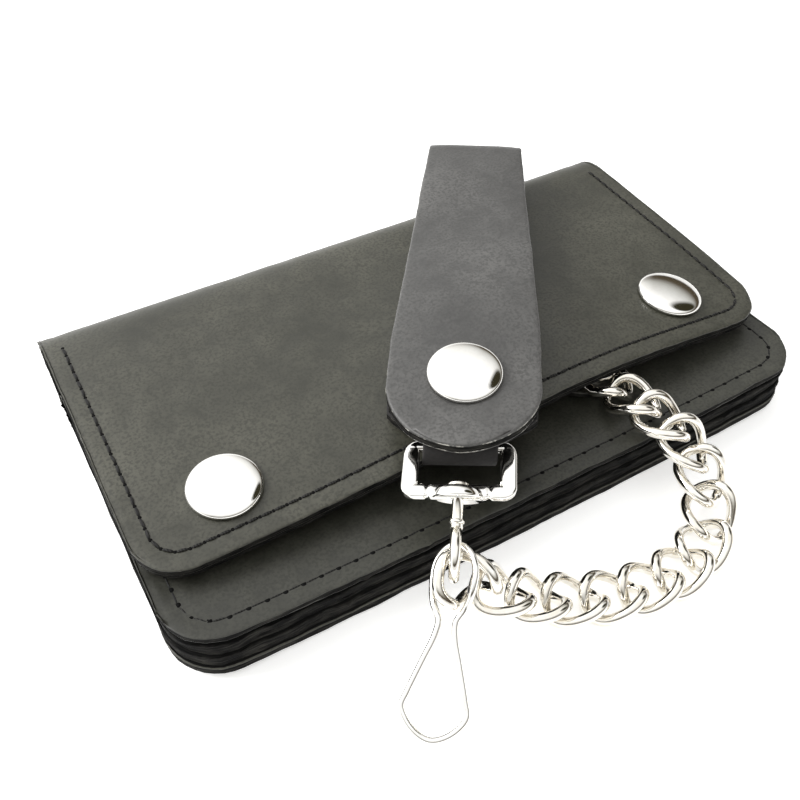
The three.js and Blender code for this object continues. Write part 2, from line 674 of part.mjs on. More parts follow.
// Joint points along the route, closer where the chain is bunched up at the cover. The pitch
// is solved so that the last one meets the eye.
function jointPoints() {
  const samples = chainRoute.getSpacedPoints(4000);
  const first = LINK.halfLength - ANCHOR.postRadius - LINK.wire - 0.45;
  const walk = (pitch) => {
    const points = [samples[0]];
    const step = (k) => {
      if (k === 1) return first + pitch / 2;
      return k >= LINK.bunched[0] && k <= LINK.bunched[1] ? pitch * LINK.bunching : pitch;
    };
    let reached = 0;
    samples.forEach((p, i) => {
      if (points.length <= LINK.count && p.distanceTo(points[points.length - 1]) >= step(points.length)) {
        points.push(p);
        reached = i;
      }
    });
    return { points, left: points.length <= LINK.count ? -1 : samples.length - 1 - reached };
  };
  let low = 6;
  let high = 12;
  for (let i = 0; i < 40; i += 1) {
    const middle = (low + high) / 2;
    if (walk(middle).left >= 0) low = middle;
    else high = middle;
  }
  return { pitch: low, points: walk(low).points };
}

// A link's centreline along +X; twistAt gives its roll about X in degrees at -1..1 of its half length.
function linkOutline(twistAt) {
  const squared = (v, size) => size * Math.sign(v) * Math.abs(v) ** (2 / LINK.squareness);
  return range(0, 360, 24).slice(0, 24).map((a) => {
    const x = squared(Math.cos(rad(a)), LINK.halfLength);
    const y = squared(Math.sin(rad(a)), LINK.halfWidth);
    const twist = rad(twistAt(x / LINK.halfLength));
    return V(x, y * Math.cos(twist), y * Math.sin(twist));
  });
}

const chain = jointPoints();
chain.points.slice(1).forEach((end, i) => {
  const start = chain.points[i];
  const heading = end.clone().sub(start).normalize();
  const side = V(0, 0, 0).crossVectors(UP, heading).normalize();
  const up = V(0, 0, 0).crossVectors(heading, side);
  const half = i === 0 ? chain.pitch / 2 : start.distanceTo(end) / 2;
  const centre = end.clone().addScaledVector(heading, -half);
  const pose = new THREE.Matrix4().makeBasis(heading, side, up).setPosition(centre);
  const eyeTwist = THREE.MathUtils.radToDeg(Math.atan2(-swivelAxis.dot(up), -swivelAxis.dot(side)));
  let twistAt = (t) => LINK.twist * t;
  if (i === 0) twistAt = (t) => LINK.twist * Math.max(0, t - 0.2) / 0.8;
  if (i === LINK.count - 1) {
    twistAt = (t) => -LINK.twist + (eyeTwist + LINK.twist) * clamp((t + 1) / 1.3, 0, 1);
  }
  const outline = linkOutline(twistAt).map((p) => p.applyMatrix4(pose));
  const number = String(i + 1).padStart(2, '0');
  addMesh(`chain_link_${number}`, wireLoop(outline, LINK.wire, 16, 6), FINISH.nickel());
});

// ---------- key wire ----------
const keyCentre = hubPoint(SWIVEL.length - SWIVEL.wire);
const keyAlong = V(-47, -77, 1.6).sub(keyCentre).normalize();
const keyAcross = V(0, 0, 0).crossVectors(keyAlong, UP).normalize();

// A small loop through the eye, a neck, and a long loop for the keys, in [along, half width] points.
// The small loop is tipped to pass over the last link.
function keyWire() {
  const { inner, loopHalf, neckAt, neckHalf, length, halfWidth } = KEY;
  const half = [
    [-inner + 1.4, loopHalf * 0.62], [-2.4, loopHalf * 0.97], [1.8, loopHalf * 0.94], [5.4, loopHalf * 0.66],
    [neckAt, neckHalf], [neckAt + 3, neckHalf * 1.15], [neckAt + 8, neckHalf + (halfWidth - neckHalf) * 0.42],
    [neckAt + 14, neckHalf + (halfWidth - neckHalf) * 0.85],
    [length - 5, halfWidth], [length - 1.6, halfWidth * 0.6],
  ];
  const outline = [[-inner, 0], ...half.map(([u, w]) => [u, -w]), [length, 0], ...half.reverse()];
  const points = outline.map(([u, w]) => {
    const tilt = rad(KEY.tilt) * (1 - smooth(u / neckAt));
    const side = keyAcross.clone().applyAxisAngle(keyAlong, tilt);
    return keyCentre.clone().addScaledVector(keyAlong, u).addScaledVector(side, w);
  });
  return wireLoop(points, KEY.wire, 48, 5);
}

addMesh('key_wire', keyWire(), FINISH.chrome());

export default group;
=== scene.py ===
"""Looks of a leather chain wallet: hide, stitching, snap caps, curb chain, swivel ring and key wire."""

import json
import math

import bmesh
import bpy
from mathutils import Matrix, Vector, noise
from mathutils.bvhtree import BVHTree


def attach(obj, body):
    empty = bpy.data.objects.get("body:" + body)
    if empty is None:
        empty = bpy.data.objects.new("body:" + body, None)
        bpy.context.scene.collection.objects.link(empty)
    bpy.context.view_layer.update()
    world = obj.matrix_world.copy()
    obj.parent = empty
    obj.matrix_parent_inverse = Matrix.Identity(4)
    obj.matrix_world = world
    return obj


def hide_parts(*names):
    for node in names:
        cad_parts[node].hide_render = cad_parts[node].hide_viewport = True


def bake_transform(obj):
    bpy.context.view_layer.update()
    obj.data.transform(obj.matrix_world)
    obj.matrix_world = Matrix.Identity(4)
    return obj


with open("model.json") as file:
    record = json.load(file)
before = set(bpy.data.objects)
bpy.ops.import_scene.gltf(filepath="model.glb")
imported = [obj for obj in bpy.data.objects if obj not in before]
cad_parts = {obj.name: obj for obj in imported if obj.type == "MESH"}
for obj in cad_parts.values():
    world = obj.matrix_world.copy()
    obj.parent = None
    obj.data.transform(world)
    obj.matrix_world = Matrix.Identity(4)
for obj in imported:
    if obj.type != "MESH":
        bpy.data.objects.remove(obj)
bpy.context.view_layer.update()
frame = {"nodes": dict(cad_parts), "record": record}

MM = 0.001
UP = Vector((0, 0, 1))
BRIGHT_SIDE = (-0.6, 0.77, 0.2)  # towards the bright side of the room, behind the wallet
DARK_CORNER = (0.69, -0.1, 0.72)  # towards the dark patch that the caps mirror


# ---------- camera, floor and light ----------
def make_camera():
    azimuth, elevation, roll = (math.radians(a) for a in (-29.46, 44.41, -0.82))
    target, distance = Vector((-9.42, -1.39, 8.0)) * MM, 220.1 * MM
    back = Vector((math.sin(azimuth) * math.cos(elevation),
                   -math.cos(azimuth) * math.cos(elevation), math.sin(elevation)))
    right = Vector((math.cos(azimuth), math.sin(azimuth), 0))
    up = back.cross(right)
    side = right * math.cos(roll) + up * math.sin(roll)
    top = up * math.cos(roll) - right * math.sin(roll)
    camera = bpy.data.objects.new("camera", bpy.data.cameras.new("camera"))
    camera.data.sensor_width = 36
    camera.data.lens = 39.88
    camera.data.clip_start = 0.01
    rotation = Matrix((side, top, back)).transposed().to_4x4()
    camera.matrix_world = Matrix.Translation(target + back * distance) @ rotation
    bpy.context.collection.objects.link(camera)
    bpy.context.scene.camera = camera


def make_key_light(location, size, power):
    """A square soft light aimed at the middle of the wallet."""
    data = bpy.data.lights.new("key", "AREA")
    data.shape = "SQUARE"
    data.size = size
    data.energy = power
    light = bpy.data.objects.new("key", data)
    light.location = location
    aim = Vector((0, 0, 0.01))
    light.rotation_euler = (aim - Vector(location)).to_track_quat("-Z", "Y").to_euler()
    bpy.context.collection.objects.link(light)


class Nodes:
    """Short calls for building the node tree of a material or the world."""

    COLOR_MIX = {"A": 6, "B": 7}  # a Mix node has further sockets named A and B for other types

    def __init__(self, tree):
        self.tree = tree
        self.tree.nodes.clear()

    def add(self, kind, inputs=None, **settings):
        node = self.tree.nodes.new("ShaderNode" + kind)
        for key, value in settings.items():
            setattr(node, key, value)
        for key, value in (inputs or {}).items():
            if kind == "Mix" and node.data_type == "RGBA":
                key = self.COLOR_MIX.get(key, key)
            socket = node.inputs[key]
            if isinstance(value, bpy.types.NodeSocket):
                self.tree.links.new(value, socket)
            else:
                socket.default_value = value
        return node

    def blend(self, factor, a, b):
        """Mixes two colours."""
        return self.add("Mix", {"Factor": factor, "A": a, "B": b}, data_type="RGBA").outputs[2]

    def ramp(self, fac, stops):
        """A colour from a value, by [place, colour] stops."""
        node = self.add("ValToRGB", {"Fac": fac})
        elements = node.color_ramp.elements
        while len(elements) < len(stops):
            elements.new(0.5)
        for element, (place, color) in zip(elements, stops):
            element.position = place
            element.color = (*color, 1)
        return node.outputs["Color"]

    def span(self, value, low, high):
        """A value from 0 to 1 spread between low and high."""
        node = self.add("MapRange", {"Value": value, "To Min": low, "To Max": high})
        return node.outputs["Result"]


def make_world():
    """A pale room: bright behind the wallet, with a dark band in front and one dark patch on the right."""
    world = bpy.data.worlds.new("studio")
    world.use_nodes = True
    bpy.context.scene.world = world
    n = Nodes(world.node_tree)
    direction = n.add("TexCoord").outputs["Generated"]
    axes = n.add("SeparateXYZ", {"Vector": direction}).outputs
    room_side = n.ramp(axes["Z"], [(0.0, (0.82, 0.82, 0.82)), (0.22, (0.82, 0.82, 0.82)),
                                   (0.28, (0.05, 0.038, 0.022)), (0.42, (0.08, 0.065, 0.045)),
                                   (0.54, (0.45, 0.45, 0.43)), (0.8, (1.0, 1.0, 1.0))])
    bright = n.add("VectorMath", {0: direction, 1: BRIGHT_SIDE}, operation="DOT_PRODUCT").outputs["Value"]
    lit = n.add("MapRange", {"Value": bright, "From Min": 0.15, "From Max": 0.75}).outputs["Result"]
    shade = n.blend(lit, room_side, (1.25, 1.25, 1.24, 1))
    dark = n.add("VectorMath", {0: direction, 1: DARK_CORNER}, operation="DOT_PRODUCT").outputs["Value"]
    spot = n.add("MapRange", {"Value": dark, "From Min": 0.95, "From Max": 0.975}).outputs["Result"]
    room = n.blend(spot, shade, (0.03, 0.027, 0.015, 1))
    background = n.add("Background", {"Color": room, "Strength": 1.25})
    n.add("OutputWorld", {"Surface": background.outputs[0]})


def make_floor():
    mesh = bmesh.new()
    half, level = 2.5, -0.0002
    corners = [(-half, -half), (half, -half), (half, half), (-half, half)]
    mesh.faces.new([mesh.verts.new((x, y, level)) for x, y in corners])
    data = bpy.data.meshes.new("floor")
    mesh.to_mesh(data)
    material = bpy.data.materials.new("floor")
    material.use_nodes = True
    n = Nodes(material.node_tree)
    shader = n.add("BsdfPrincipled", {"Base Color": (0.92, 0.92, 0.91, 1), "Roughness": 0.7,
                                      "Emission Color": (1, 1, 1, 1), "Emission Strength": 0.45})
    n.add("OutputMaterial", {"Surface": shader.outputs[0]})
    data.materials.append(material)
    floor = bpy.data.objects.new("floor", data)
    bpy.context.collection.objects.link(floor)


# ---------- materials ----------
def new_material(name):
    material = bpy.data.materials.new(name)
    material.use_nodes = True
    return material, Nodes(material.node_tree)


def leather(name, dark, light, wear_glint_color, roughness, grain, depth, wear_glint_from=0.6):
    """Oiled hide: mottled colour, pebble grain, a burnished rim and pale flecks along it, partly abrasion and
    partly painted highlight (edge glints).
    """
    material, n = new_material(name)
    place = n.add("TexCoord").outputs["Object"]
    mottle = n.add("TexNoise", {"Vector": place, "Scale": 34, "Detail": 6, "Roughness": 0.6}).outputs["Fac"]
    smear = n.add("TexNoise", {"Vector": place, "Scale": 160, "Detail": 5, "Distortion": 0.8}).outputs["Fac"]
    pores = n.add("TexNoise", {"Vector": place, "Scale": 1500, "Detail": 3}).outputs["Fac"]
    pits = n.add("MapRange", {"Value": pores, "From Min": 0.45, "From Max": 0.62,
                              "To Max": 0.75}).outputs["Result"]
    cells = n.add("TexVoronoi", {"Vector": place, "Scale": grain, "Randomness": 1.0},
                  feature="SMOOTH_F1").outputs["Distance"]
    tone = n.add("Mix", {"Factor": 0.35, "A": mottle, "B": smear}).outputs["Result"]
    color = n.ramp(tone, [(0.34, dark), (0.66, light)])
    flecked = n.blend(pits, color, (*dark, 1))
    rim = n.add("Attribute", attribute_name="rim").outputs["Fac"]
    burnished = n.blend(n.span(rim, 0.0, 0.85), flecked, (0.006, 0.006, 0.006, 1))
    # Pale flecks on the rim: partly abrasion of the hide, partly painted highlight for glints along the
    # rounded edge.
    wear_glint_noise = n.add("TexNoise", {"Vector": place, "Scale": 420, "Detail": 4, "Roughness": 0.7}).outputs["Fac"]
    wear_glint_flecks = n.add("MapRange", {"Value": wear_glint_noise, "From Min": wear_glint_from, "From Max": wear_glint_from + 0.1}).outputs["Result"]
    rim_wear_glint = n.add("Math", {0: wear_glint_flecks, 1: rim}, operation="MULTIPLY").outputs[0]
    finished = n.blend(rim_wear_glint, burnished, (*wear_glint_color, 1))
    height = n.add("Mix", {"Factor": 0.35, "A": cells, "B": pores}).outputs["Result"]
    fine = n.add("Bump", {"Height": height, "Strength": 0.55, "Distance": depth})
    soft = n.add("Bump", {"Height": smear, "Strength": 0.3, "Distance": 0.0003,
                          "Normal": fine.outputs["Normal"]})
    shader = n.add("BsdfPrincipled", {
        "Base Color": finished,
        "Roughness": n.add("MapRange", {"Value": smear, "From Min": 0.3, "From Max": 0.7,
                                        "To Min": roughness - 0.06, "To Max": roughness + 0.08}).outputs[0],
        "Normal": soft.outputs["Normal"],
        "Specular IOR Level": 0.5,
    })
    n.add("OutputMaterial", {"Surface": shader.outputs[0]})
    return material


def raw_edge(name, dark, light, stretch):
    """Cut edge of the hide: fibres and glue lines in layers, lighter in streaks that are partly fibre colour
    and partly painted highlight (glints).
    """
    material, n = new_material(name)
    place = n.add("TexCoord").outputs["Object"]
    layered = n.add("Mapping", {"Vector": place, "Scale": stretch}).outputs["Vector"]
    fibres = n.add("TexNoise", {"Vector": layered, "Scale": 1, "Detail": 6, "Roughness": 0.65}).outputs["Fac"]
    lumps = n.add("TexNoise", {"Vector": place, "Scale": 260, "Detail": 4}).outputs["Fac"]
    both = n.add("Mix", {"Factor": 0.35, "A": fibres, "B": lumps}).outputs["Result"]
    # The lighter streaks: partly fibre colour, partly painted highlight for glints on the edge.
    color = n.ramp(both, [(0.45, dark), (0.72, light)])
    bump = n.add("Bump", {"Height": both, "Strength": 0.9, "Distance": 0.0005})
    shader = n.add("BsdfPrincipled", {"Base Color": color, "Roughness": n.span(lumps, 0.8, 1.0),
                                      "Specular IOR Level": 0.12, "Normal": bump.outputs["Normal"]})
    n.add("OutputMaterial", {"Surface": shader.outputs[0]})
    return material


def suede(name, dark, light):
    """Flesh side of the hide."""
    material, n = new_material(name)
    place = n.add("TexCoord").outputs["Object"]
    nap = n.add("TexNoise", {"Vector": place, "Scale": 700, "Detail": 6, "Roughness": 0.7}).outputs["Fac"]
    patches = n.add("TexNoise", {"Vector": place, "Scale": 60, "Detail": 3}).outputs["Fac"]
    both = n.add("Mix", {"Factor": 0.5, "A": nap, "B": patches}).outputs["Result"]
    color = n.ramp(both, [(0.35, dark), (0.65, light)])
    bump = n.add("Bump", {"Height": nap, "Strength": 0.7, "Distance": 0.0002})
    shader = n.add("BsdfPrincipled", {"Base Color": color, "Roughness": n.span(nap, 0.75, 0.95),
                                      "Specular IOR Level": 0.15, "Normal": bump.outputs["Normal"]})
    n.add("OutputMaterial", {"Surface": shader.outputs[0]})
    return material


def thread(name, dark, light):
    """Waxed thread with its twist."""
    material, n = new_material(name)
    place = n.add("TexCoord").outputs["Object"]
    twist = n.add("TexWave", {"Vector": place, "Scale": 520, "Distortion": 2.0, "Detail": 2}).outputs["Fac"]
    dirt = n.add("TexNoise", {"Vector": place, "Scale": 90, "Detail": 3}).outputs["Fac"]
    color = n.ramp(n.add("Mix", {"Factor": 0.6, "A": twist, "B": dirt}).outputs["Result"],
                   [(0.35, dark), (0.75, light)])
    bump = n.add("Bump", {"Height": twist, "Strength": 0.6, "Distance": 0.0001})
    shader = n.add("BsdfPrincipled", {"Base Color": color, "Roughness": n.span(dirt, 0.5, 0.75),
                                      "Specular IOR Level": 0.25, "Normal": bump.outputs["Normal"]})
    n.add("OutputMaterial", {"Surface": shader.outputs[0]})
    return material


def metal(name, color, tarnish, smooth, rough):
    """Bright plating with faint tarnish, handling haze and hairline scratches."""
    material, n = new_material(name)
    place = n.add("TexCoord").outputs["Object"]
    haze = n.add("TexNoise", {"Vector": place, "Scale": 240, "Detail": 5, "Roughness": 0.6}).outputs["Fac"]
    lines = n.add("Mapping", {"Vector": place, "Scale": (3500, 500, 1400),
                              "Rotation": (0.4, 0.2, 0.7)}).outputs["Vector"]
    scratches = n.add("TexNoise", {"Vector": lines, "Scale": 1, "Detail": 3}).outputs["Fac"]
    tone = n.ramp(haze, [(0.35, color), (0.75, tarnish)])
    bump = n.add("Bump", {"Height": scratches, "Strength": 0.12, "Distance": 0.00003})
    shader = n.add("BsdfPrincipled", {"Base Color": tone, "Metallic": 1.0,
                                      "Roughness": n.span(haze, smooth, rough),
                                      "Normal": bump.outputs["Normal"]})
    n.add("OutputMaterial", {"Surface": shader.outputs[0]})
    return material


# The third colour of each hide is its pale rim flecks: partly abrasion, partly painted highlight.
HIDE = leather("hide", (0.024, 0.024, 0.016), (0.075, 0.073, 0.055), (0.16, 0.15, 0.13),
               roughness=0.44, grain=900, depth=0.00004)
PANEL = leather("panel_hide", (0.018, 0.018, 0.013), (0.052, 0.052, 0.040), (0.12, 0.12, 0.10),
                roughness=0.48, grain=1000, depth=0.00003)
STRAP = leather("strap_hide", (0.050, 0.049, 0.047), (0.125, 0.122, 0.117), (0.62, 0.60, 0.54),
                roughness=0.44, grain=1150, depth=0.00012, wear_glint_from=0.5)
# Painted shade: the strap's hide made near black for the lower strap, standing for the shadow under the flap
# and on the nose in the ring.
SHADED_STRAP = leather("strap_painted_shade", (0.005, 0.004, 0.004), (0.013, 0.011, 0.010), (0.1, 0.09, 0.07),
                     roughness=0.75, grain=1150, depth=0.00008)
EDGE = raw_edge("cut_edge", (0.002, 0.002, 0.002), (0.045, 0.043, 0.038), (160, 160, 2600))
FLESH = suede("flesh_side", (0.003, 0.003, 0.003), (0.010, 0.010, 0.009))
THREAD = thread("waxed_thread", (0.004, 0.004, 0.004), (0.025, 0.024, 0.022))
# Painted shade: near-black for the discs that stand for the recess of each stitch hole.
HOLE_SHADE = suede("stitch_hole_shade", (0.001, 0.001, 0.001), (0.002, 0.002, 0.002))
CHROME = metal("chrome", (0.90, 0.89, 0.86), (0.82, 0.80, 0.76), 0.04, 0.12)
NICKEL = metal("nickel", (0.88, 0.86, 0.81), (0.76, 0.71, 0.62), 0.07, 0.18)
BODY_MATERIALS = [HIDE, FLESH, EDGE]
PANEL_MATERIALS = [PANEL, FLESH, EDGE]
STRAP_MATERIALS = [STRAP, FLESH, EDGE]
# The lower strap's grain side uses the painted-shade copy of the strap's hide.
LOWER_STRAP_MATERIALS = [SHADED_STRAP, FLESH, EDGE]
LEAF_MATERIALS = [FLESH, FLESH, EDGE]


# ---------- the wallet's surfaces, in millimetres ----------
HALF = 82.5
FRONT, CORNER = -46, 12
COVER_FRONT, COVER_CORNER = -31.5, 11
FOLD_START, FOLD_DEPTH, FOLD_HEIGHT, FOLD_POWER = 38, 12, 26, 0.8
HIDE_THICKNESS, COVER_THICKNESS, LINING_THICKNESS = 2.2, 2.0, 1.15
PANEL_TOP, PANEL_THICKNESS = 12.8, 1.7
STITCH_INSET = 4.6
BOW_RISE, BOW_FROM = 2.2, 20  # the stack curves up towards its two ends
SAG, HUMP, HUMP_AT = 7, 5, 26  # the cover drops towards its front and swells over the chain's anchor


def between(low, high, steps):
    return [low + (high - low) * i / steps for i in range(steps + 1)]


def clamp(value, low=0.0, high=1.0):
    return max(low, min(high, value))


def smoothstep(value):
    value = clamp(value)
    return value * value * (3 - 2 * value)


def bow(x):
    return BOW_RISE * (max(0, abs(x) - BOW_FROM) / (HALF - BOW_FROM)) ** 2


def cover_top(x, y):
    y = clamp(y, COVER_FRONT, FOLD_START)
    sag = SAG * ((FOLD_START - y) / (FOLD_START - COVER_FRONT)) ** 1.3
    hump = math.exp(-(((x - HUMP_AT) / (55 if x < HUMP_AT else 41)) ** 2))
    return FOLD_HEIGHT - sag + HUMP * hump * smoothstep((30 - y) / 50)


def cover_normal(x, y):
    dx = cover_top(x + 0.5, y) - cover_top(x - 0.5, y)
    dy = cover_top(x, y + 0.5) - cover_top(x, y - 0.5)
    return Vector((-dx, -dy, 1)).normalized()


def panel_normal(x):
    return Vector((bow(x - 0.5) - bow(x + 0.5), 0, 1)).normalized()


def fold_row(x, degrees, thickness):
    """A point on the outer face of the fold and the one below it on its inner face."""
    def face(angle):
        c, s = math.cos(math.radians(angle)), math.sin(math.radians(angle))
        return (FOLD_START + FOLD_DEPTH * math.copysign(abs(c) ** FOLD_POWER, c),
                FOLD_HEIGHT / 2 * (1 + math.copysign(abs(s) ** FOLD_POWER, s)))
    y, z = face(degrees)
    y0, z0 = face(max(-90, degrees - 0.5))
    y1, z1 = face(min(90, degrees + 0.5))
    outward = Vector((0, z1 - z0, y0 - y1)).normalized()
    if abs(degrees) == 90:
        outward = Vector((0, 0, math.copysign(1, degrees)))
    outer = Vector((x, y, z + bow(x) * (1 - z / FOLD_HEIGHT)))
    return outer, outer - outward * thickness


def stations(radius, middle, arc=9):
    """Places along X, closer together round the corners."""
    straight = HALF - radius
    ends = [straight + radius * math.sin(math.pi / 2 * i / arc) for i in range(arc + 1)]
    inner = between(-straight, straight, middle)[1:-1]
    return [-x for x in reversed(ends)] + inner + ends


def corner_inset(x, radius):
    past = max(0, abs(x) - (HALF - radius))
    return radius - math.sqrt(max(0, radius * radius - past * past))


def edge_distance(x, y, front, radius):
    """How far inside the left, front and right edges a point lies."""
    across, along = abs(x) - (HALF - radius), front + radius - y
    if across > 0 and along > 0:
        return radius - math.hypot(across, along)
    return radius - max(across, along)


def groove(x, y, front, radius):
    """Depth pressed in by the row of stitches, with a slight crown outside it."""
    away = edge_distance(x, y, front, radius) - STITCH_INSET
    return -0.25 * math.exp(-((away / 0.8) ** 2)) - 0.12 * smoothstep((-away - 2.6) / 2.0)


def ripple(point, size, wavelength, seed=0.0):
    return size * noise.noise(point / wavelength + Vector((seed, seed * 0.7, 0)))


# ---------- meshes ----------
def mesh_object(name, mesh, materials):
    bmesh.ops.scale(mesh, vec=(MM, MM, MM), verts=mesh.verts)
    for face in mesh.faces:
        face.smooth = True
    data = bpy.data.meshes.new(name)
    mesh.to_mesh(data)
    mesh.free()
    for material in materials:
        data.materials.append(material)
    made = bpy.data.objects.new(name, data)
    bpy.context.collection.objects.link(made)
    return made


def slab(name, outer, inner, materials, bevel, ragged=0.25, relief=None, lip=0, joined=None, wave=0.1):
    """A sheet of hide between two grids: grain side, flesh side and a cut edge with rounded, roughened
    corners.

    bevel rounds its corners with material number lip, ragged roughens the cut edge and wave the faces,
    relief(point) lifts the grain side, and joined(point) is true where another sheet carries on.
    """
    mesh = bmesh.new()
    rows, columns = len(outer), len(outer[0])
    top = [[mesh.verts.new(p) for p in row] for row in outer]
    under = [[mesh.verts.new(p) for p in row] for row in inner]
    for i in range(rows - 1):
        for j in range(columns - 1):
            mesh.faces.new((top[i][j], top[i + 1][j], top[i + 1][j + 1], top[i][j + 1]))
            face = mesh.faces.new((under[i][j], under[i][j + 1], under[i + 1][j + 1], under[i + 1][j]))
            face.material_index = 1
    loop = [(i, 0) for i in range(rows)] + [(rows - 1, j) for j in range(1, columns)]
    loop += [(i, columns - 1) for i in range(rows - 2, -1, -1)] + [(0, j) for j in range(columns - 2, 0, -1)]
    for k, (i, j) in enumerate(loop):
        m, n = loop[(k + 1) % len(loop)]
        face = mesh.faces.new((top[m][n], top[i][j], under[i][j], under[m][n]))
        face.material_index = 2
    bmesh.ops.recalc_face_normals(mesh, faces=mesh.faces)
    mesh.normal_update()
    for i, j in loop:
        for vertex in (top[i][j], under[i][j]):
            if joined and joined(vertex.co):
                continue
            side = sum((f.normal for f in vertex.link_faces if f.material_index == 2), Vector())
            if side.length > 1e-6:
                push = ripple(vertex.co, ragged, 6) + ripple(vertex.co, ragged * 0.5, 1.6)
                vertex.co += side.normalized() * (push - ragged * 0.8)
    rim_edges = [e for e in mesh.edges if len({f.material_index for f in e.link_faces}) > 1]
    if joined:  # another sheet carries on there, so the edge is neither rounded nor burnished
        meeting = [e for e in rim_edges if all(joined(v.co) for v in e.verts)]
        for edge in meeting:
            edge.smooth = False
        rim_edges = [e for e in rim_edges if e not in meeting]
    bmesh.ops.bevel(mesh, geom=rim_edges, offset=bevel, segments=3, profile=0.5, affect="EDGES",
                    material=lip)
    mesh.normal_update()
    rim = mesh.verts.layers.float.new("rim")
    for vertex in mesh.verts:
        kinds = {f.material_index for f in vertex.link_faces}
        vertex[rim] = 1.0 if 2 in kinds and not (joined and joined(vertex.co)) else 0.0
        lift = ripple(vertex.co, wave, 9) + ripple(vertex.co, 0.4 * wave, 2.5)
        if relief and 0 in kinds and 1 not in kinds:
            lift += relief(vertex.co)
        vertex.co += vertex.normal * lift
    return mesh_object(name, mesh, materials)


def loft(mesh, rings, closed):
    """Joins rings of points into a closed loop of tube, or a capped rod."""
    made = [[mesh.verts.new(p) for p in ring] for ring in rings]
    sides = len(rings[0])
    for i in range(len(made) if closed else len(made) - 1):
        here, following = made[i], made[(i + 1) % len(made)]
        for j in range(sides):
            k = (j + 1) % sides
            mesh.faces.new((here[j], here[k], following[k], following[j]))
    if not closed:
        mesh.faces.new(list(reversed(made[0])))
        mesh.faces.new(made[-1])


def lathe(mesh, profile, origin, axis, steps=48, material=0):
    """A turned piece: [radius, height] points from the axis round to the axis or back to the start."""
    turn = axis.to_track_quat("Z", "Y")
    columns = []
    for radius, height in profile:
        if radius < 1e-6:
            columns.append([mesh.verts.new(origin + turn @ Vector((0, 0, height)))] * steps)
            continue
        ring = []
        for i in range(steps):
            a = 2 * math.pi * i / steps
            ring.append(mesh.verts.new(
                origin + turn @ Vector((radius * math.cos(a), radius * math.sin(a), height))))
        columns.append(ring)
    on_axis = profile[0][0] < 1e-6 and profile[-1][0] < 1e-6
    for k in range(len(columns) - 1 if on_axis else len(columns)):
        a, b = columns[k], columns[(k + 1) % len(columns)]
        for i in range(steps):
            j = (i + 1) % steps
            corners = []
            for vertex in (a[i], a[j], b[j], b[i]):
                if vertex not in corners:
                    corners.append(vertex)
            if len(corners) > 2:
                mesh.faces.new(corners).material_index = material


def smooth_loop(points, steps):
    """Points evenly along a closed centripetal curve through the given ones."""
    count = len(points)
    dense = []
    for i in range(count):
        p = [points[(i + k) % count] for k in (-1, 0, 1, 2)]
        t = [0.0]
        for a, b in zip(p, p[1:]):
            t.append(t[-1] + max(1e-4, (b - a).length) ** 0.5)
        for k in range(24):
            u = t[1] + (t[2] - t[1]) * k / 24
            a = [p[j].lerp(p[j + 1], (u - t[j]) / (t[j + 1] - t[j])) for j in range(3)]
            b = [a[j].lerp(a[j + 1], (u - t[j]) / (t[j + 2] - t[j])) for j in range(2)]
            dense.append(b[0].lerp(b[1], (u - t[1]) / (t[2] - t[1])))
    dense.append(points[0])
    lengths = [0.0]
    for a, b in zip(dense, dense[1:]):
        lengths.append(lengths[-1] + (b - a).length)
    out = []
    k = 0
    for i in range(steps):
        want = lengths[-1] * i / steps
        while k + 2 < len(lengths) and lengths[k + 1] < want:
            k += 1
        share = (want - lengths[k]) / max(1e-9, lengths[k + 1] - lengths[k])
        out.append(dense[k].lerp(dense[k + 1], clamp(share)))
    return out


def tube(mesh, path, radius, sides):
    """Round wire along a closed path."""
    count = len(path)
    tangents = [(path[(i + 1) % count] - path[i - 1]).normalized() for i in range(count)]
    normal = tangents[0].orthogonal().normalized()
    normals = []
    for tangent in tangents:
        normal = (normal - tangent * normal.dot(tangent)).normalized()
        normals.append(normal)
    last = (normals[-1] - tangents[0] * normals[-1].dot(tangents[0])).normalized()
    twist = math.atan2(last.cross(normals[0]).dot(tangents[0]), last.dot(normals[0]))
    rings = []
    for i, point in enumerate(path):
        turned = Matrix.Rotation(twist * i / count, 3, tangents[i]) @ normals[i]
        other = tangents[i].cross(turned)
        rings.append([point + turned * (radius * math.cos(2 * math.pi * j / sides))
                      + other * (radius * math.sin(2 * math.pi * j / sides)) for j in range(sides)])
    loft(mesh, rings, True)


def single(name, materials, build, body, *replaced, slot=None):
    """Builds one object in a fresh mesh and makes it ride on a body in place of CAD nodes."""
    mesh = bmesh.new()
    build(mesh)
    bmesh.ops.recalc_face_normals(mesh, faces=mesh.faces)
    made = mesh_object(name, mesh, materials)
    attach(made, body)
    if replaced:
        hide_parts(*replaced)
    return made


# ---------- stitching ----------
def stitch_path(front, radius, back):
    """Flat path down the left side, along the front and up the right side."""
    half, r = HALF - STITCH_INSET, radius - STITCH_INSET
    y0 = front + radius
    corner = [(math.cos(math.radians(a)), math.sin(math.radians(a))) for a in between(180, 270, 12)]
    left = [(-half, y) for y in between(back, y0, 40)]
    left += [(-(half - r) + r * c, y0 + r * s) for c, s in corner[1:]]
    middle = [(x, front + STITCH_INSET) for x in between(-(half - r), half - r, 80)[1:-1]]
    return left + middle + [(-x, y) for x, y in reversed(left)]


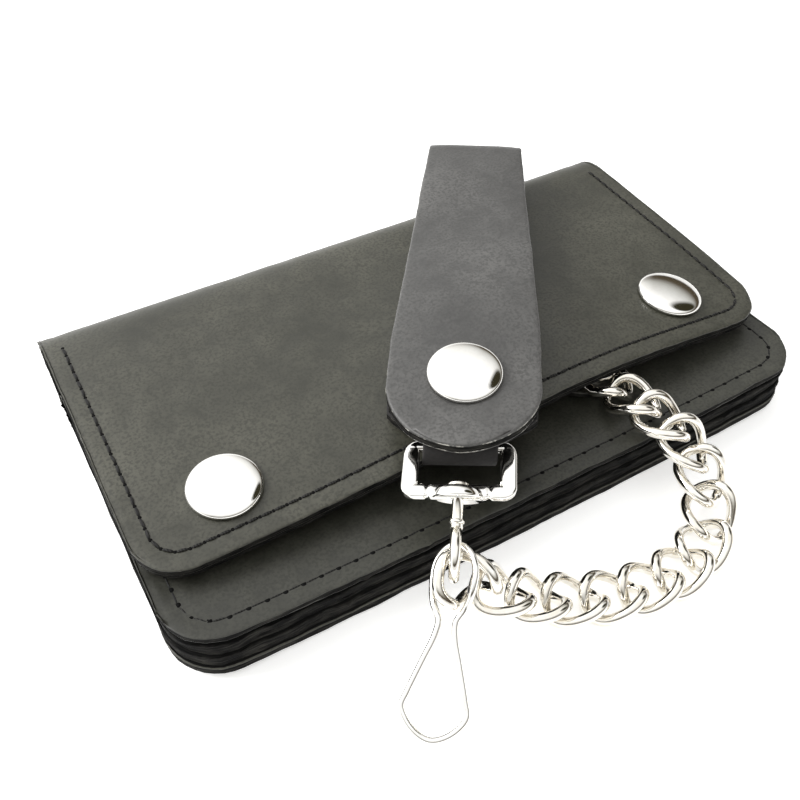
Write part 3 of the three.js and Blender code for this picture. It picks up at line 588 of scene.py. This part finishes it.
def stitches(name, flat, surface, pitch, body, slot, length=0.78, width=0.34, rise=0.16, hole_radius=0.42):
    """Separate stitches of thread along a flat path, with a near-black disc at each end: painted shade
    standing for the stitch hole.

    length is a share of the pitch, width half the thread's width, and rise how far its middle stands up.
    """
    points = [surface(x, y) for x, y in flat]
    lengths = [0.0]
    for (a, _), (b, _) in zip(points, points[1:]):
        lengths.append(lengths[-1] + (b - a).length)
    count = round(lengths[-1] / pitch)

    def at(distance):
        k = 0
        while k + 2 < len(lengths) and lengths[k + 1] < distance:
            k += 1
        share = clamp((distance - lengths[k]) / max(1e-9, lengths[k + 1] - lengths[k]))
        (a, na), (b, nb) = points[k], points[k + 1]
        return a.lerp(b, share), na.lerp(nb, share).normalized()

    def build(mesh):
        for i in range(count):
            start, normal = at((i + 0.5 - length / 2) * lengths[-1] / count)
            end, _ = at((i + 0.5 + length / 2) * lengths[-1] / count)
            heading = (end - start).normalized()
            across = normal.cross(heading).normalized()
            wobble = across * ripple(start, 0.25, 2.2)
            rings = []
            for u in between(-0.98, 0.98, 8):
                radius = width * max(0.12, (1 - u ** 4)) ** 0.6
                centre = start.lerp(end, (u + 1) / 2) + normal * (rise * (1 - u * u) - 0.04) + wobble * u
                rings.append([centre + across * (radius * math.cos(math.pi * j / 4))
                              + normal * (radius * 0.8 * math.sin(math.pi * j / 4)) for j in range(8)])
            loft(mesh, rings, False)
            hole, up = at(i * lengths[-1] / count)
            # A flat near-black disc, painted shade for the hole, which is not cut.
            rim = [(0, -0.2), (hole_radius, -0.05), (hole_radius, 0.02), (0, 0.05)]
            lathe(mesh, rim, hole, up, 10, material=1)
    return single(name, [THREAD, HOLE_SHADE], build, body, slot=slot)


bpy.context.scene.view_settings.view_transform = "Standard"
make_camera()
make_world()
make_floor()
make_key_light((-0.70, 0.45, 0.70), 0.5, 9)


# ---------- back shell with the lower half of the fold ----------
def at_fold_seam(point):
    """True where the back and the cover meet edge to edge, half way up the fold."""
    front, low, high = 47, 12.9, 14.3
    return point.y > front and low < point.z < high


def add_back():
    outer, inner = [], []
    for x in stations(CORNER, 70):
        rows = between(FRONT + corner_inset(x, CORNER), FOLD_START, 40)
        faces = [(Vector((x, y, bow(x))), Vector((x, y, bow(x) + HIDE_THICKNESS))) for y in rows]
        faces += [fold_row(x, a, HIDE_THICKNESS) for a in between(-90, 0, 18)[1:]]
        outer.append([face for face, _ in faces])
        inner.append([back for _, back in faces])
    back = slab("back_leather", outer, inner, BODY_MATERIALS, bevel=0.35,
                relief=lambda p: groove(p.x, p.y, FRONT, CORNER) if p.z < 4 else 0.0, joined=at_fold_seam)
    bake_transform(back)
    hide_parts("back_shell")
    return back


def add_cover():
    outer, inner = [], []
    for x in stations(COVER_CORNER, 96):
        faces = [fold_row(x, a, COVER_THICKNESS) for a in between(0, 90, 20)]
        for y in between(FOLD_START, COVER_FRONT + corner_inset(x, COVER_CORNER), 54)[1:]:
            z = cover_top(x, y)
            faces.append((Vector((x, y, z)), Vector((x, y, z - COVER_THICKNESS))))
        outer.append([face for face, _ in faces])
        inner.append([back for _, back in faces])
    cover = slab("cover_leather", outer, inner, BODY_MATERIALS, bevel=0.4,
                 relief=lambda p: groove(p.x, p.y, COVER_FRONT, COVER_CORNER) if p.z > 15 else 0.0,
                 joined=at_fold_seam)
    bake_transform(cover)
    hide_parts("cover_shell", "spine_leather")
    return cover


def add_lining():
    outer, inner = [], []
    drop = COVER_THICKNESS + 0.05
    for station in stations(COVER_CORNER, 60):
        x = station * (HALF - 0.35) / HALF
        rows = between(30, COVER_FRONT + 0.35 + corner_inset(station, COVER_CORNER), 26)
        outer.append([Vector((x, y, cover_top(x, y) - drop)) for y in rows])
        inner.append([Vector((x, y, cover_top(x, y) - drop - LINING_THICKNESS)) for y in rows])
    lining = slab("cover_lining_leather", outer, inner, LEAF_MATERIALS, bevel=0.3)
    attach(lining, "cover")
    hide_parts("cover_lining")
    return lining


def flat_leaf(name, node, bottom, thickness, inset, materials, columns, rows,
              relief=None, ragged=0.3, lip=2):
    """A pocket leaf or the top panel: a sheet that bows up at its two ends."""
    outer, inner = [], []
    radius = CORNER - inset
    for station in stations(radius, columns):
        x = station * (HALF - inset) / HALF
        ys = between(FRONT + inset + corner_inset(station, radius), 36, rows)
        outer.append([Vector((x, y, bottom + thickness + bow(x))) for y in ys])
        inner.append([Vector((x, y, bottom + bow(x))) for y in ys])
    leaf = slab(name, outer, inner, materials, bevel=0.3, relief=relief, ragged=ragged, lip=lip)
    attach(leaf, "stack")
    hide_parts(node)
    return leaf


def add_leaves():
    leaves = ["bill_pocket_leaf", "bill_divider_leaf", "checkbook_pocket_leaf", "card_pocket_leaf"]
    insets = [0.5, 0.1, 0.7, 0.3]
    lowest, step, thickness = 2.42, 1.9, 1.75
    for i, (node, inset) in enumerate(zip(leaves, insets)):
        flat_leaf(node + "_leather", node, lowest + step * i, thickness, inset, LEAF_MATERIALS, 60, 16,
                  ragged=0.45)
    return flat_leaf("top_panel_leather", "top_panel", PANEL_TOP - PANEL_THICKNESS, PANEL_THICKNESS, 0.2,
                     PANEL_MATERIALS, 96, 54, lip=0,
                     relief=lambda p: groove(p.x, p.y, FRONT, CORNER) if p.z > 12 else 0.0)


def seat_on(piece, side):
    """Finds a piece's finished surface at a flat place, from above (side 1) or from below (side -1)."""
    tree = BVHTree.FromPolygons([v.co / MM for v in piece.data.vertices],
                                [tuple(p.vertices) for p in piece.data.polygons])

    def seat(x, y):
        place, normal, _, _ = tree.ray_cast(Vector((x, y, 80 * side)), Vector((0, 0, -side)))
        return place, normal
    return seat


def add_wallet_stitches(back, cover, lining, panel):
    cover_pitch, stack_pitch = 3.0, 3.9
    stitches("cover_stitches", stitch_path(COVER_FRONT, COVER_CORNER, FOLD_START), seat_on(cover, 1),
             cover_pitch, "cover", "cover_shell", length=0.86, rise=0.2)
    stitches("lining_stitches", stitch_path(COVER_FRONT, COVER_CORNER, 29), seat_on(lining, -1),
             cover_pitch, "cover", "cover_lining", rise=0.1)
    flat = stitch_path(FRONT, CORNER, 32)
    # The panel's wider discs are painted shade for its dark stitch holes.
    stitches("panel_stitches", flat, seat_on(panel, 1), stack_pitch, "stack", "top_panel",
             width=0.2, rise=0.05, hole_radius=0.6)
    stitches("back_stitches", flat, seat_on(back, -1), stack_pitch, "stack", "back_shell", rise=0.05)


back_piece = add_back()
cover_piece = add_cover()
lining_piece = add_lining()
panel_piece = add_leaves()
add_wallet_stitches(back_piece, cover_piece, lining_piece, panel_piece)


# ---------- snaps ----------
SNAP_X, SNAP_Y = 60.2, -17.1
CAP_RADIUS, BARREL = 8.1, 1.9
COVER_STACK, SNAP_PLAY = 3.2, 0.3  # hide and lining that a cap goes through, and room under its parts
SOCKET_HEIGHT, STUD_FLANGE, STUD_GRIP = 2.5, 0.6, 1.2


def cap_profile(through):
    dome = [(CAP_RADIUS * math.sin(math.radians(a)), 0.75 + 1.75 * math.cos(math.radians(a)) ** 0.9)
            for a in between(0, 76, 12)]
    rim = [(8.02, 1.05), (8.12, 0.75), (8.05, 0.4), (7.8, 0.2), (7.3, 0.28), (BARREL, 0.3)]
    return dome + rim + [(BARREL, -through - 1.1), (0, -through - 1.1)]


def socket_profile(height):
    hole, r, cavity = BARREL + 0.35, 6.3, 4.6
    return [(hole, 0), (r - 0.5, 0), (r - 0.1, -0.15), (r, -0.5), (r, -height + 0.5),
            (r - 0.15, -height + 0.15), (r - 0.5, -height), (cavity + 0.2, -height),
            (cavity, -height + 0.2), (cavity, -0.8), (hole, -0.8)]


def stud_profile(height, flange):
    r, bore, neck = 3.3, 1.85, 2.8
    return [(bore, 0), (3.6, 0), (3.8, 0.15), (3.8, flange - 0.1), (3.6, flange), (neck, flange),
            (neck, height * 0.55), (r - 0.1, height * 0.68), (r, height * 0.76), (r - 0.15, height * 0.92),
            (r - 0.5, height), (bore, height)]


def add_wallet_snaps():
    for side, name in ((-1, "left"), (1, "right")):
        x = side * SNAP_X
        seat, axis = Vector((x, SNAP_Y, cover_top(x, SNAP_Y))), cover_normal(x, SNAP_Y)
        single("cap_" + name, [CHROME], lambda m: lathe(m, cap_profile(COVER_STACK), seat, axis, 72),
               "cover", "snap_cap_" + name)
        under = seat - axis * (COVER_STACK + SNAP_PLAY)
        single("socket_" + name, [NICKEL], lambda m: lathe(m, socket_profile(SOCKET_HEIGHT), under, axis),
               "cover", "snap_socket_" + name)
        mouth = under - axis * SOCKET_HEIGHT
        normal = panel_normal(mouth.x)
        foot = Vector((mouth.x, mouth.y, PANEL_TOP + bow(mouth.x)))
        stud = stud_profile(mouth.z - foot.z - SNAP_PLAY + STUD_GRIP, STUD_FLANGE)
        single("stud_" + name, [NICKEL], lambda m: lathe(m, stud, foot + normal * SNAP_PLAY, normal),
               "stack", "snap_stud_" + name)


add_wallet_snaps()

# ---------- strap ----------
ALONG = Vector((math.cos(math.radians(55.1)), math.sin(math.radians(55.1)), 0))
ACROSS = Vector((ALONG.y, -ALONG.x, 0))
STRAP_THICKNESS, FLAP_THICKNESS, CLEARANCE = 2.2, 2.4, 1.1
STRAP_SNAP = Vector((-6.5, -24.2, 0))  # places along the strap count from its snap
BEND_AT, BEND_RADIUS, BEND_HALF = 86.2, 6, 13
END_CENTRE, END_LENGTH, STRAP_HALF = -4, 16.3, 16.5
BAR_AT, BAR, TAB_HALF, BAR_PLAY = -15, 1.25, 7.8, 0.3
LAYER_GAP, SNAP_GAP = 0.3, 3.4  # between the lower strap's two layers, and between them and the flap


def strap_xy(s, p):
    return STRAP_SNAP + ALONG * s + ACROSS * p


def floor_under(s, p=0.0):
    at = strap_xy(s, p)
    return cover_top(at.x, at.y)


def strap_point(s, p, z):
    at = strap_xy(s, p)
    at.z = z + floor_under(s, p) - floor_under(s)
    return at


BAR_HEIGHT = floor_under(BAR_AT) + CLEARANCE + STRAP_THICKNESS + BAR_PLAY + BAR
BAR_TILT = (floor_under(BAR_AT, 8) - floor_under(BAR_AT, -8)) / 16
TAB_TOP = CLEARANCE + 2 * STRAP_THICKNESS + LAYER_GAP
FLAP_BOTTOM = TAB_TOP + SNAP_GAP
BEND_Z = FOLD_HEIGHT + CLEARANCE + BEND_RADIUS


def strap_half(s):
    """Half the strap's width: round at the snap end, then tapering to the bend."""
    if s < END_CENTRE:
        return STRAP_HALF * math.sqrt(max(0.001, 1 - ((END_CENTRE - s) / END_LENGTH) ** 2))
    return STRAP_HALF - (STRAP_HALF - BEND_HALF) * clamp((s - 8) / (BEND_AT - 8)) ** 0.9


def strap_grid(rows, thickness, columns):
    """Both faces of a strap from rows of [along, height, facing along, facing up, half width]."""
    outer, inner = [], []
    for s, z, ns, nz, width in rows:
        line = between(-width, width, columns)
        outer.append([strap_point(s + ns * thickness / 2, p, z + nz * thickness / 2) for p in line])
        inner.append([strap_point(s - ns * thickness / 2, p, z - nz * thickness / 2) for p in line])
    return outer, inner


def flap_crown(point):
    """The flap is pressed flat near its edge and crowned a little along the middle."""
    flat = point - strap_xy(0, 0)
    s, p = flat.dot(ALONG), flat.dot(ACROSS)
    half = max(1.0, strap_half(s))
    return 0.35 * (1 - clamp(abs(p) / half) ** 4) + ripple(point, 0.12, 14, 5.0)


def add_strap():
    level = FLAP_BOTTOM + FLAP_THICKNESS / 2
    top = BEND_Z + BEND_RADIUS - FLAP_THICKNESS / 2 - FOLD_HEIGHT
    rows = []
    places = [END_CENTRE - END_LENGTH * math.sin(math.radians(a)) for a in between(88, 0, 22)]
    places += between(END_CENTRE, BEND_AT - 0.2, 60)[1:]
    for s in places:
        t = clamp(s / (BEND_AT - 0.2))
        rows.append((s, floor_under(s) + level + (top - level) * t, 0, 1, strap_half(s)))
    bend_mid = BEND_RADIUS - FLAP_THICKNESS / 2
    for a in between(86, -90, 22):
        c, s = math.cos(math.radians(a)), math.sin(math.radians(a))
        rows.append((BEND_AT + bend_mid * c, BEND_Z + bend_mid * s, c, s, BEND_HALF))
    outer, inner = strap_grid(rows, FLAP_THICKNESS, 22)
    flap = slab("strap_flap_leather", outer, inner, STRAP_MATERIALS, bevel=0.5, ragged=0.15,
                relief=flap_crown)
    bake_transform(flap)
    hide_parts("strap_flap")

    rows = []
    for s in between(BEND_AT - 0.1, -12, 60):
        neck = smoothstep((s + 13.5) / 8.5)
        width = TAB_HALF + (strap_half(s) - TAB_HALF) * neck
        rows.append((s, floor_under(s) + CLEARANCE + STRAP_THICKNESS / 2, 0, -1, width))
    nose = BAR + BAR_PLAY + STRAP_THICKNESS / 2
    for a in between(-90, -270, 20):
        c, s = math.cos(math.radians(a)), math.sin(math.radians(a))
        rows.append((BAR_AT + nose * c, BAR_HEIGHT + nose * s, c, s, TAB_HALF))
    for s in between(BAR_AT + 1.5, 12, 18):
        rest = floor_under(s) + CLEARANCE + 1.5 * STRAP_THICKNESS + LAYER_GAP
        settle = smoothstep((s - BAR_AT) / 9)
        rows.append((s, BAR_HEIGHT + nose + (rest - BAR_HEIGHT - nose) * settle, 0, 1, TAB_HALF))
    outer, inner = strap_grid(rows, STRAP_THICKNESS, 14)
    # Its grain side takes the painted-shade copy of the strap's hide.
    lower = slab("strap_lower_leather", outer, inner, LOWER_STRAP_MATERIALS, bevel=0.45, ragged=0.15,
                 wave=0.02)
    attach(lower, "strap")
    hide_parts("strap_lower")


def add_strap_snap():
    axis = cover_normal(STRAP_SNAP.x, STRAP_SNAP.y)
    base = strap_xy(0, 0) + UP * floor_under(0)

    def turned(name, material, profile, height, steps, body):
        single(name + "_strap", [material], lambda m: lathe(m, profile, base + axis * height, axis, steps),
               body, "snap_" + name + "_strap")
    turned("cap", CHROME, cap_profile(FLAP_THICKNESS), FLAP_BOTTOM + FLAP_THICKNESS + 0.15, 72, "flap")
    turned("socket", NICKEL, socket_profile(2.2), FLAP_BOTTOM - SNAP_PLAY, 48, "flap")
    turned("stud", NICKEL, stud_profile(1.45, 0.5), TAB_TOP + SNAP_PLAY, 48, "strap")


add_strap()
add_strap_snap()

# ---------- square ring, swivel and eye ----------
RING_LENGTH, RING_PLAY, BAR_WIDTH, BAR_THICKNESS = 11, 0.4, 3.4, 1.6
RING_DROP = 1.2  # how far the hub side of the ring hangs below the bar
SLOPE, SWIVEL_LENGTH, POST, LOOP_LENGTH, LOOP_HALF, EYE_WIRE = 28, 18, 1.15, 11.4, 3.7, 1.1
HUB = 5.2
hub_centre = strap_xy(BAR_AT - RING_LENGTH, 0) + UP * (BAR_HEIGHT - RING_DROP)
swivel_axis = -ALONG * math.cos(math.radians(SLOPE)) - UP * math.sin(math.radians(SLOPE))


def hub_point(t):
    return hub_centre + swivel_axis * t


def add_ring():
    side = TAB_HALF + RING_PLAY + BAR_WIDTH / 2
    corner, far = 1.1, BAR_AT - RING_LENGTH
    centres = [(BAR_AT - corner, side - corner, 0), (far + corner, side - corner, 90),
               (far + corner, -side + corner, 180), (BAR_AT - corner, -side + corner, 270)]
    path = []
    for k, (s, p, start) in enumerate(centres):
        arc = [(s + corner * math.cos(math.radians(a)), p + corner * math.sin(math.radians(a)))
               for a in between(start, start + 90, 8)]
        path += arc
        s2, p2, start2 = centres[(k + 1) % 4]
        ahead = (s2 + corner * math.cos(math.radians(start2)), p2 + corner * math.sin(math.radians(start2)))
        path += [(arc[-1][0] + (ahead[0] - arc[-1][0]) * t, arc[-1][1] + (ahead[1] - arc[-1][1]) * t)
                 for t in between(0, 1, 48 if k == 1 else 8)[1:-1]]

    def build(mesh):
        rings = []
        for i, (s, p) in enumerate(path):
            s0, p0 = path[i - 1]
            s1, p1 = path[(i + 1) % len(path)]
            turn = math.hypot(s1 - s0, p1 - p0)
            out_s, out_p = (p1 - p0) / turn, -(s1 - s0) / turn
            flat = smoothstep((BAR_AT - 0.2 - s) / 1.6)
            crimp = 1 - 0.3 * math.exp(-(((abs(p) - HUB - 0.9) / 0.35) ** 2)) * (s < far + 0.1)
            wide = (BAR + (BAR_WIDTH / 2 - BAR) * flat) * crimp
            thick = (BAR + (BAR_THICKNESS / 2 - BAR) * flat) * crimp
            height = BAR_HEIGHT - RING_DROP * clamp((BAR_AT - s) / RING_LENGTH) + BAR_TILT * p
            ring = []
            for j in range(20):
                a = 2 * math.pi * (j + 0.5) / 20
                power = 1 - 0.55 * flat
                c = math.copysign(abs(math.cos(a)) ** power, math.cos(a))
                t = math.copysign(abs(math.sin(a)) ** power, math.sin(a))
                at = strap_xy(s + out_s * c * wide, p + out_p * c * wide)
                ring.append(Vector((at.x, at.y, height + BAR_TILT * out_p * c * wide + t * thick)))
            rings.append(ring)
        loft(mesh, rings, True)
    single("ring_frame", [CHROME], build, "ring", "square_ring")
    bore = POST + 0.35
    cup = [(bore, -0.9), (HUB - 1.8, -0.95), (HUB - 1.0, -0.7), (HUB - 0.35, -0.05), (HUB, 0.9),
           (HUB + 0.02, 1.3), (HUB - 0.15, 1.55), (HUB - 0.45, 1.5), (HUB - 1.0, 1.05), (HUB - 2.0, 0.55),
           (bore + 0.8, 0.25), (bore, 0.0)]
    single("ring_hub", [CHROME], lambda m: lathe(m, cup, hub_centre, swivel_axis, 56), "ring",
           slot="square_ring")


def add_eye():
    eye_up = ACROSS.cross(swivel_axis).normalized()
    middle, reach = SWIVEL_LENGTH - LOOP_LENGTH / 2, LOOP_LENGTH / 2 - EYE_WIRE
    loop = [hub_point(middle + reach * math.cos(a)) + eye_up * (LOOP_HALF * math.sin(a))
            for a in (2 * math.pi * i / 48 for i in range(48))]

    def build(mesh):
        tube(mesh, loop, EYE_WIRE, 16)
        end = SWIVEL_LENGTH - LOOP_LENGTH + EYE_WIRE
        lathe(mesh, [(0, -2.3), (1.4, -2.2), (2.1, -1.8), (2.2, -1.2), (POST, -1.1), (POST, end - 2),
                     (POST * 1.15, end - 0.6), (POST * 0.9, end), (0, end)], hub_centre, swivel_axis, 32)
        lathe(mesh, [(POST - 0.1, 5.4), (1.5, 5.5), (1.6, 5.9), (1.5, 6.3), (POST - 0.1, 6.5)],
              hub_centre, swivel_axis, 32)
    single("eye", [NICKEL], build, "swivel", "swivel_eye")


add_ring()
add_eye()

# ---------- chain and key wire ----------
KEY_AIM, KEY_WIRE, KEY_TILT = Vector((-47, -77, 1.6)), 0.7, 30
LINK_WIRE, LINK_HALF, LINK_WIDTH, LINK_TWIST, SQUARENESS = 1.14, 6.3, 5, -45, 2.6
WIRE_PLATING = 0.05
LAST_LINK_HANG = Vector((-1.2, 0.6, 0.6))  # from the eye's wire to the end of the last link


def add_chain():
    """Curb links, each half way between two joints and twisted a quarter turn from end to end."""
    pivots = {j["name"]: Vector(j["pos_m"]) / MM for j in frame["record"]["behaviour"]["joints"]}
    names = [n for n in pivots if n.startswith("chain_")]
    points = [pivots[n] for n in names]
    count = len(points)
    points.append(hub_point(SWIVEL_LENGTH - EYE_WIRE) + LAST_LINK_HANG)
    pitch = (points[8] - points[7]).length
    for i in range(count):
        start, end = points[i], points[i + 1]
        heading = (end - start).normalized()
        side = UP.cross(heading).normalized()
        up = heading.cross(side)
        half = pitch / 2 if i == 0 else (end - start).length / 2
        centre = end - heading * half
        eye_twist = math.degrees(math.atan2(-swivel_axis.dot(up), -swivel_axis.dot(side)))
        path = []
        for k in range(72):
            a = 2 * math.pi * k / 72
            x = LINK_HALF * math.copysign(abs(math.cos(a)) ** (2 / SQUARENESS), math.cos(a))
            y = LINK_WIDTH * math.copysign(abs(math.sin(a)) ** (2 / SQUARENESS), math.sin(a))
            t = x / LINK_HALF
            twist = LINK_TWIST * t
            if i == 0:
                twist = LINK_TWIST * max(0, t - 0.2) / 0.8
            if i == count - 1:
                twist = -LINK_TWIST + (eye_twist + LINK_TWIST) * clamp((t + 1) / 1.3)
            twist = math.radians(twist)
            path.append(centre + heading * x + side * (y * math.cos(twist)) + up * (y * math.sin(twist)))
        even = smooth_loop(path, 60)
        number = f"{i + 1:02d}"
        single("link_" + number, [NICKEL], lambda m: tube(m, even, LINK_WIRE + WIRE_PLATING, 14),
               "link_" + number, "chain_link_" + number)


def add_key_wire():
    """A small loop in the eye, a neck and a wide loop that lies on the table."""
    centre = hub_point(SWIVEL_LENGTH - EYE_WIRE)
    along = (KEY_AIM - centre).normalized()
    across = along.cross(UP).normalized()
    inner, loop, neck_at, neck, length, wide = 6.6, 4.8, 8.2, 1.7, 30, 6.2
    half = [(-inner + 1.4, loop * 0.62), (-2.4, loop * 0.97), (1.8, loop * 0.94), (5.4, loop * 0.66),
            (neck_at, neck), (neck_at + 3, neck * 1.15), (neck_at + 8, neck + (wide - neck) * 0.42),
            (neck_at + 14, neck + (wide - neck) * 0.85), (length - 5, wide), (length - 1.6, wide * 0.6)]
    outline = [(-inner, 0)] + [(u, -w) for u, w in half] + [(length, 0)] + list(reversed(half))
    points = []
    for u, w in outline:
        tilt = math.radians(KEY_TILT) * (1 - smoothstep(u / neck_at))
        points.append(centre + along * u + (Matrix.Rotation(tilt, 3, along) @ across) * w)
    path = smooth_loop(points, 150)
    single("key_loop", [CHROME], lambda m: tube(m, path, KEY_WIRE, 12), "key", "key_wire")


add_chain()
add_key_wire()


# ---------- chain anchor and stud rivets, which show only when the wallet is open ----------
def add_anchor():
    """The leather tab that holds the first link, and the rivet through both."""
    x0, y0, top, thickness, half_width = 31, -26, 15.6, 1.4, 10
    tip, sewn, gap = y0 - 4.2, -4, 0.3
    under = cover_top(x0, sewn) - COVER_STACK - gap
    outer, inner = [], []
    for y in between(tip, sewn, 24):
        past = max(0, tip + half_width - y) / half_width
        half = half_width * math.sqrt(max(0.02, 1 - past * past))
        rise = smoothstep((y - y0 - 6) / (sewn - y0 - 6))
        line = between(-half, half, 12)
        z = [top + (under - top) * rise + (cover_top(x0 + p, y) - cover_top(x0, y)) * rise for p in line]
        outer.append([Vector((x0 + p, y, h)) for p, h in zip(line, z)])
        inner.append([Vector((x0 + p, y, h - thickness)) for p, h in zip(line, z)])
    tab = slab("chain_tab_leather", outer, inner, PANEL_MATERIALS, bevel=0.3, ragged=0.1)
    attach(tab, "cover")
    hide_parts("chain_tab")
    foot, head = top - thickness - 1.0, top + 0.8 + 2 * LINK_WIRE + gap
    profile = [(0, foot), (3.8, foot), (4, foot + 0.2), (4, foot + 0.6), (1.8, foot + 0.7), (1.8, head),
               (4.1, head), (4.3, head + 0.25), (4.0, head + 0.6), (2.6, head + 0.85), (0, head + 0.95)]
    single("anchor_rivet", [NICKEL], lambda m: lathe(m, profile, Vector((x0, y0, 0)), UP, 40),
           "cover", "chain_rivet")


add_anchor()
for node in frame["nodes"].values():
    if not node.hide_render:  # the stud rivets, which no piece here stands for
        node.data.materials.clear()
        node.data.materials.append(NICKEL)
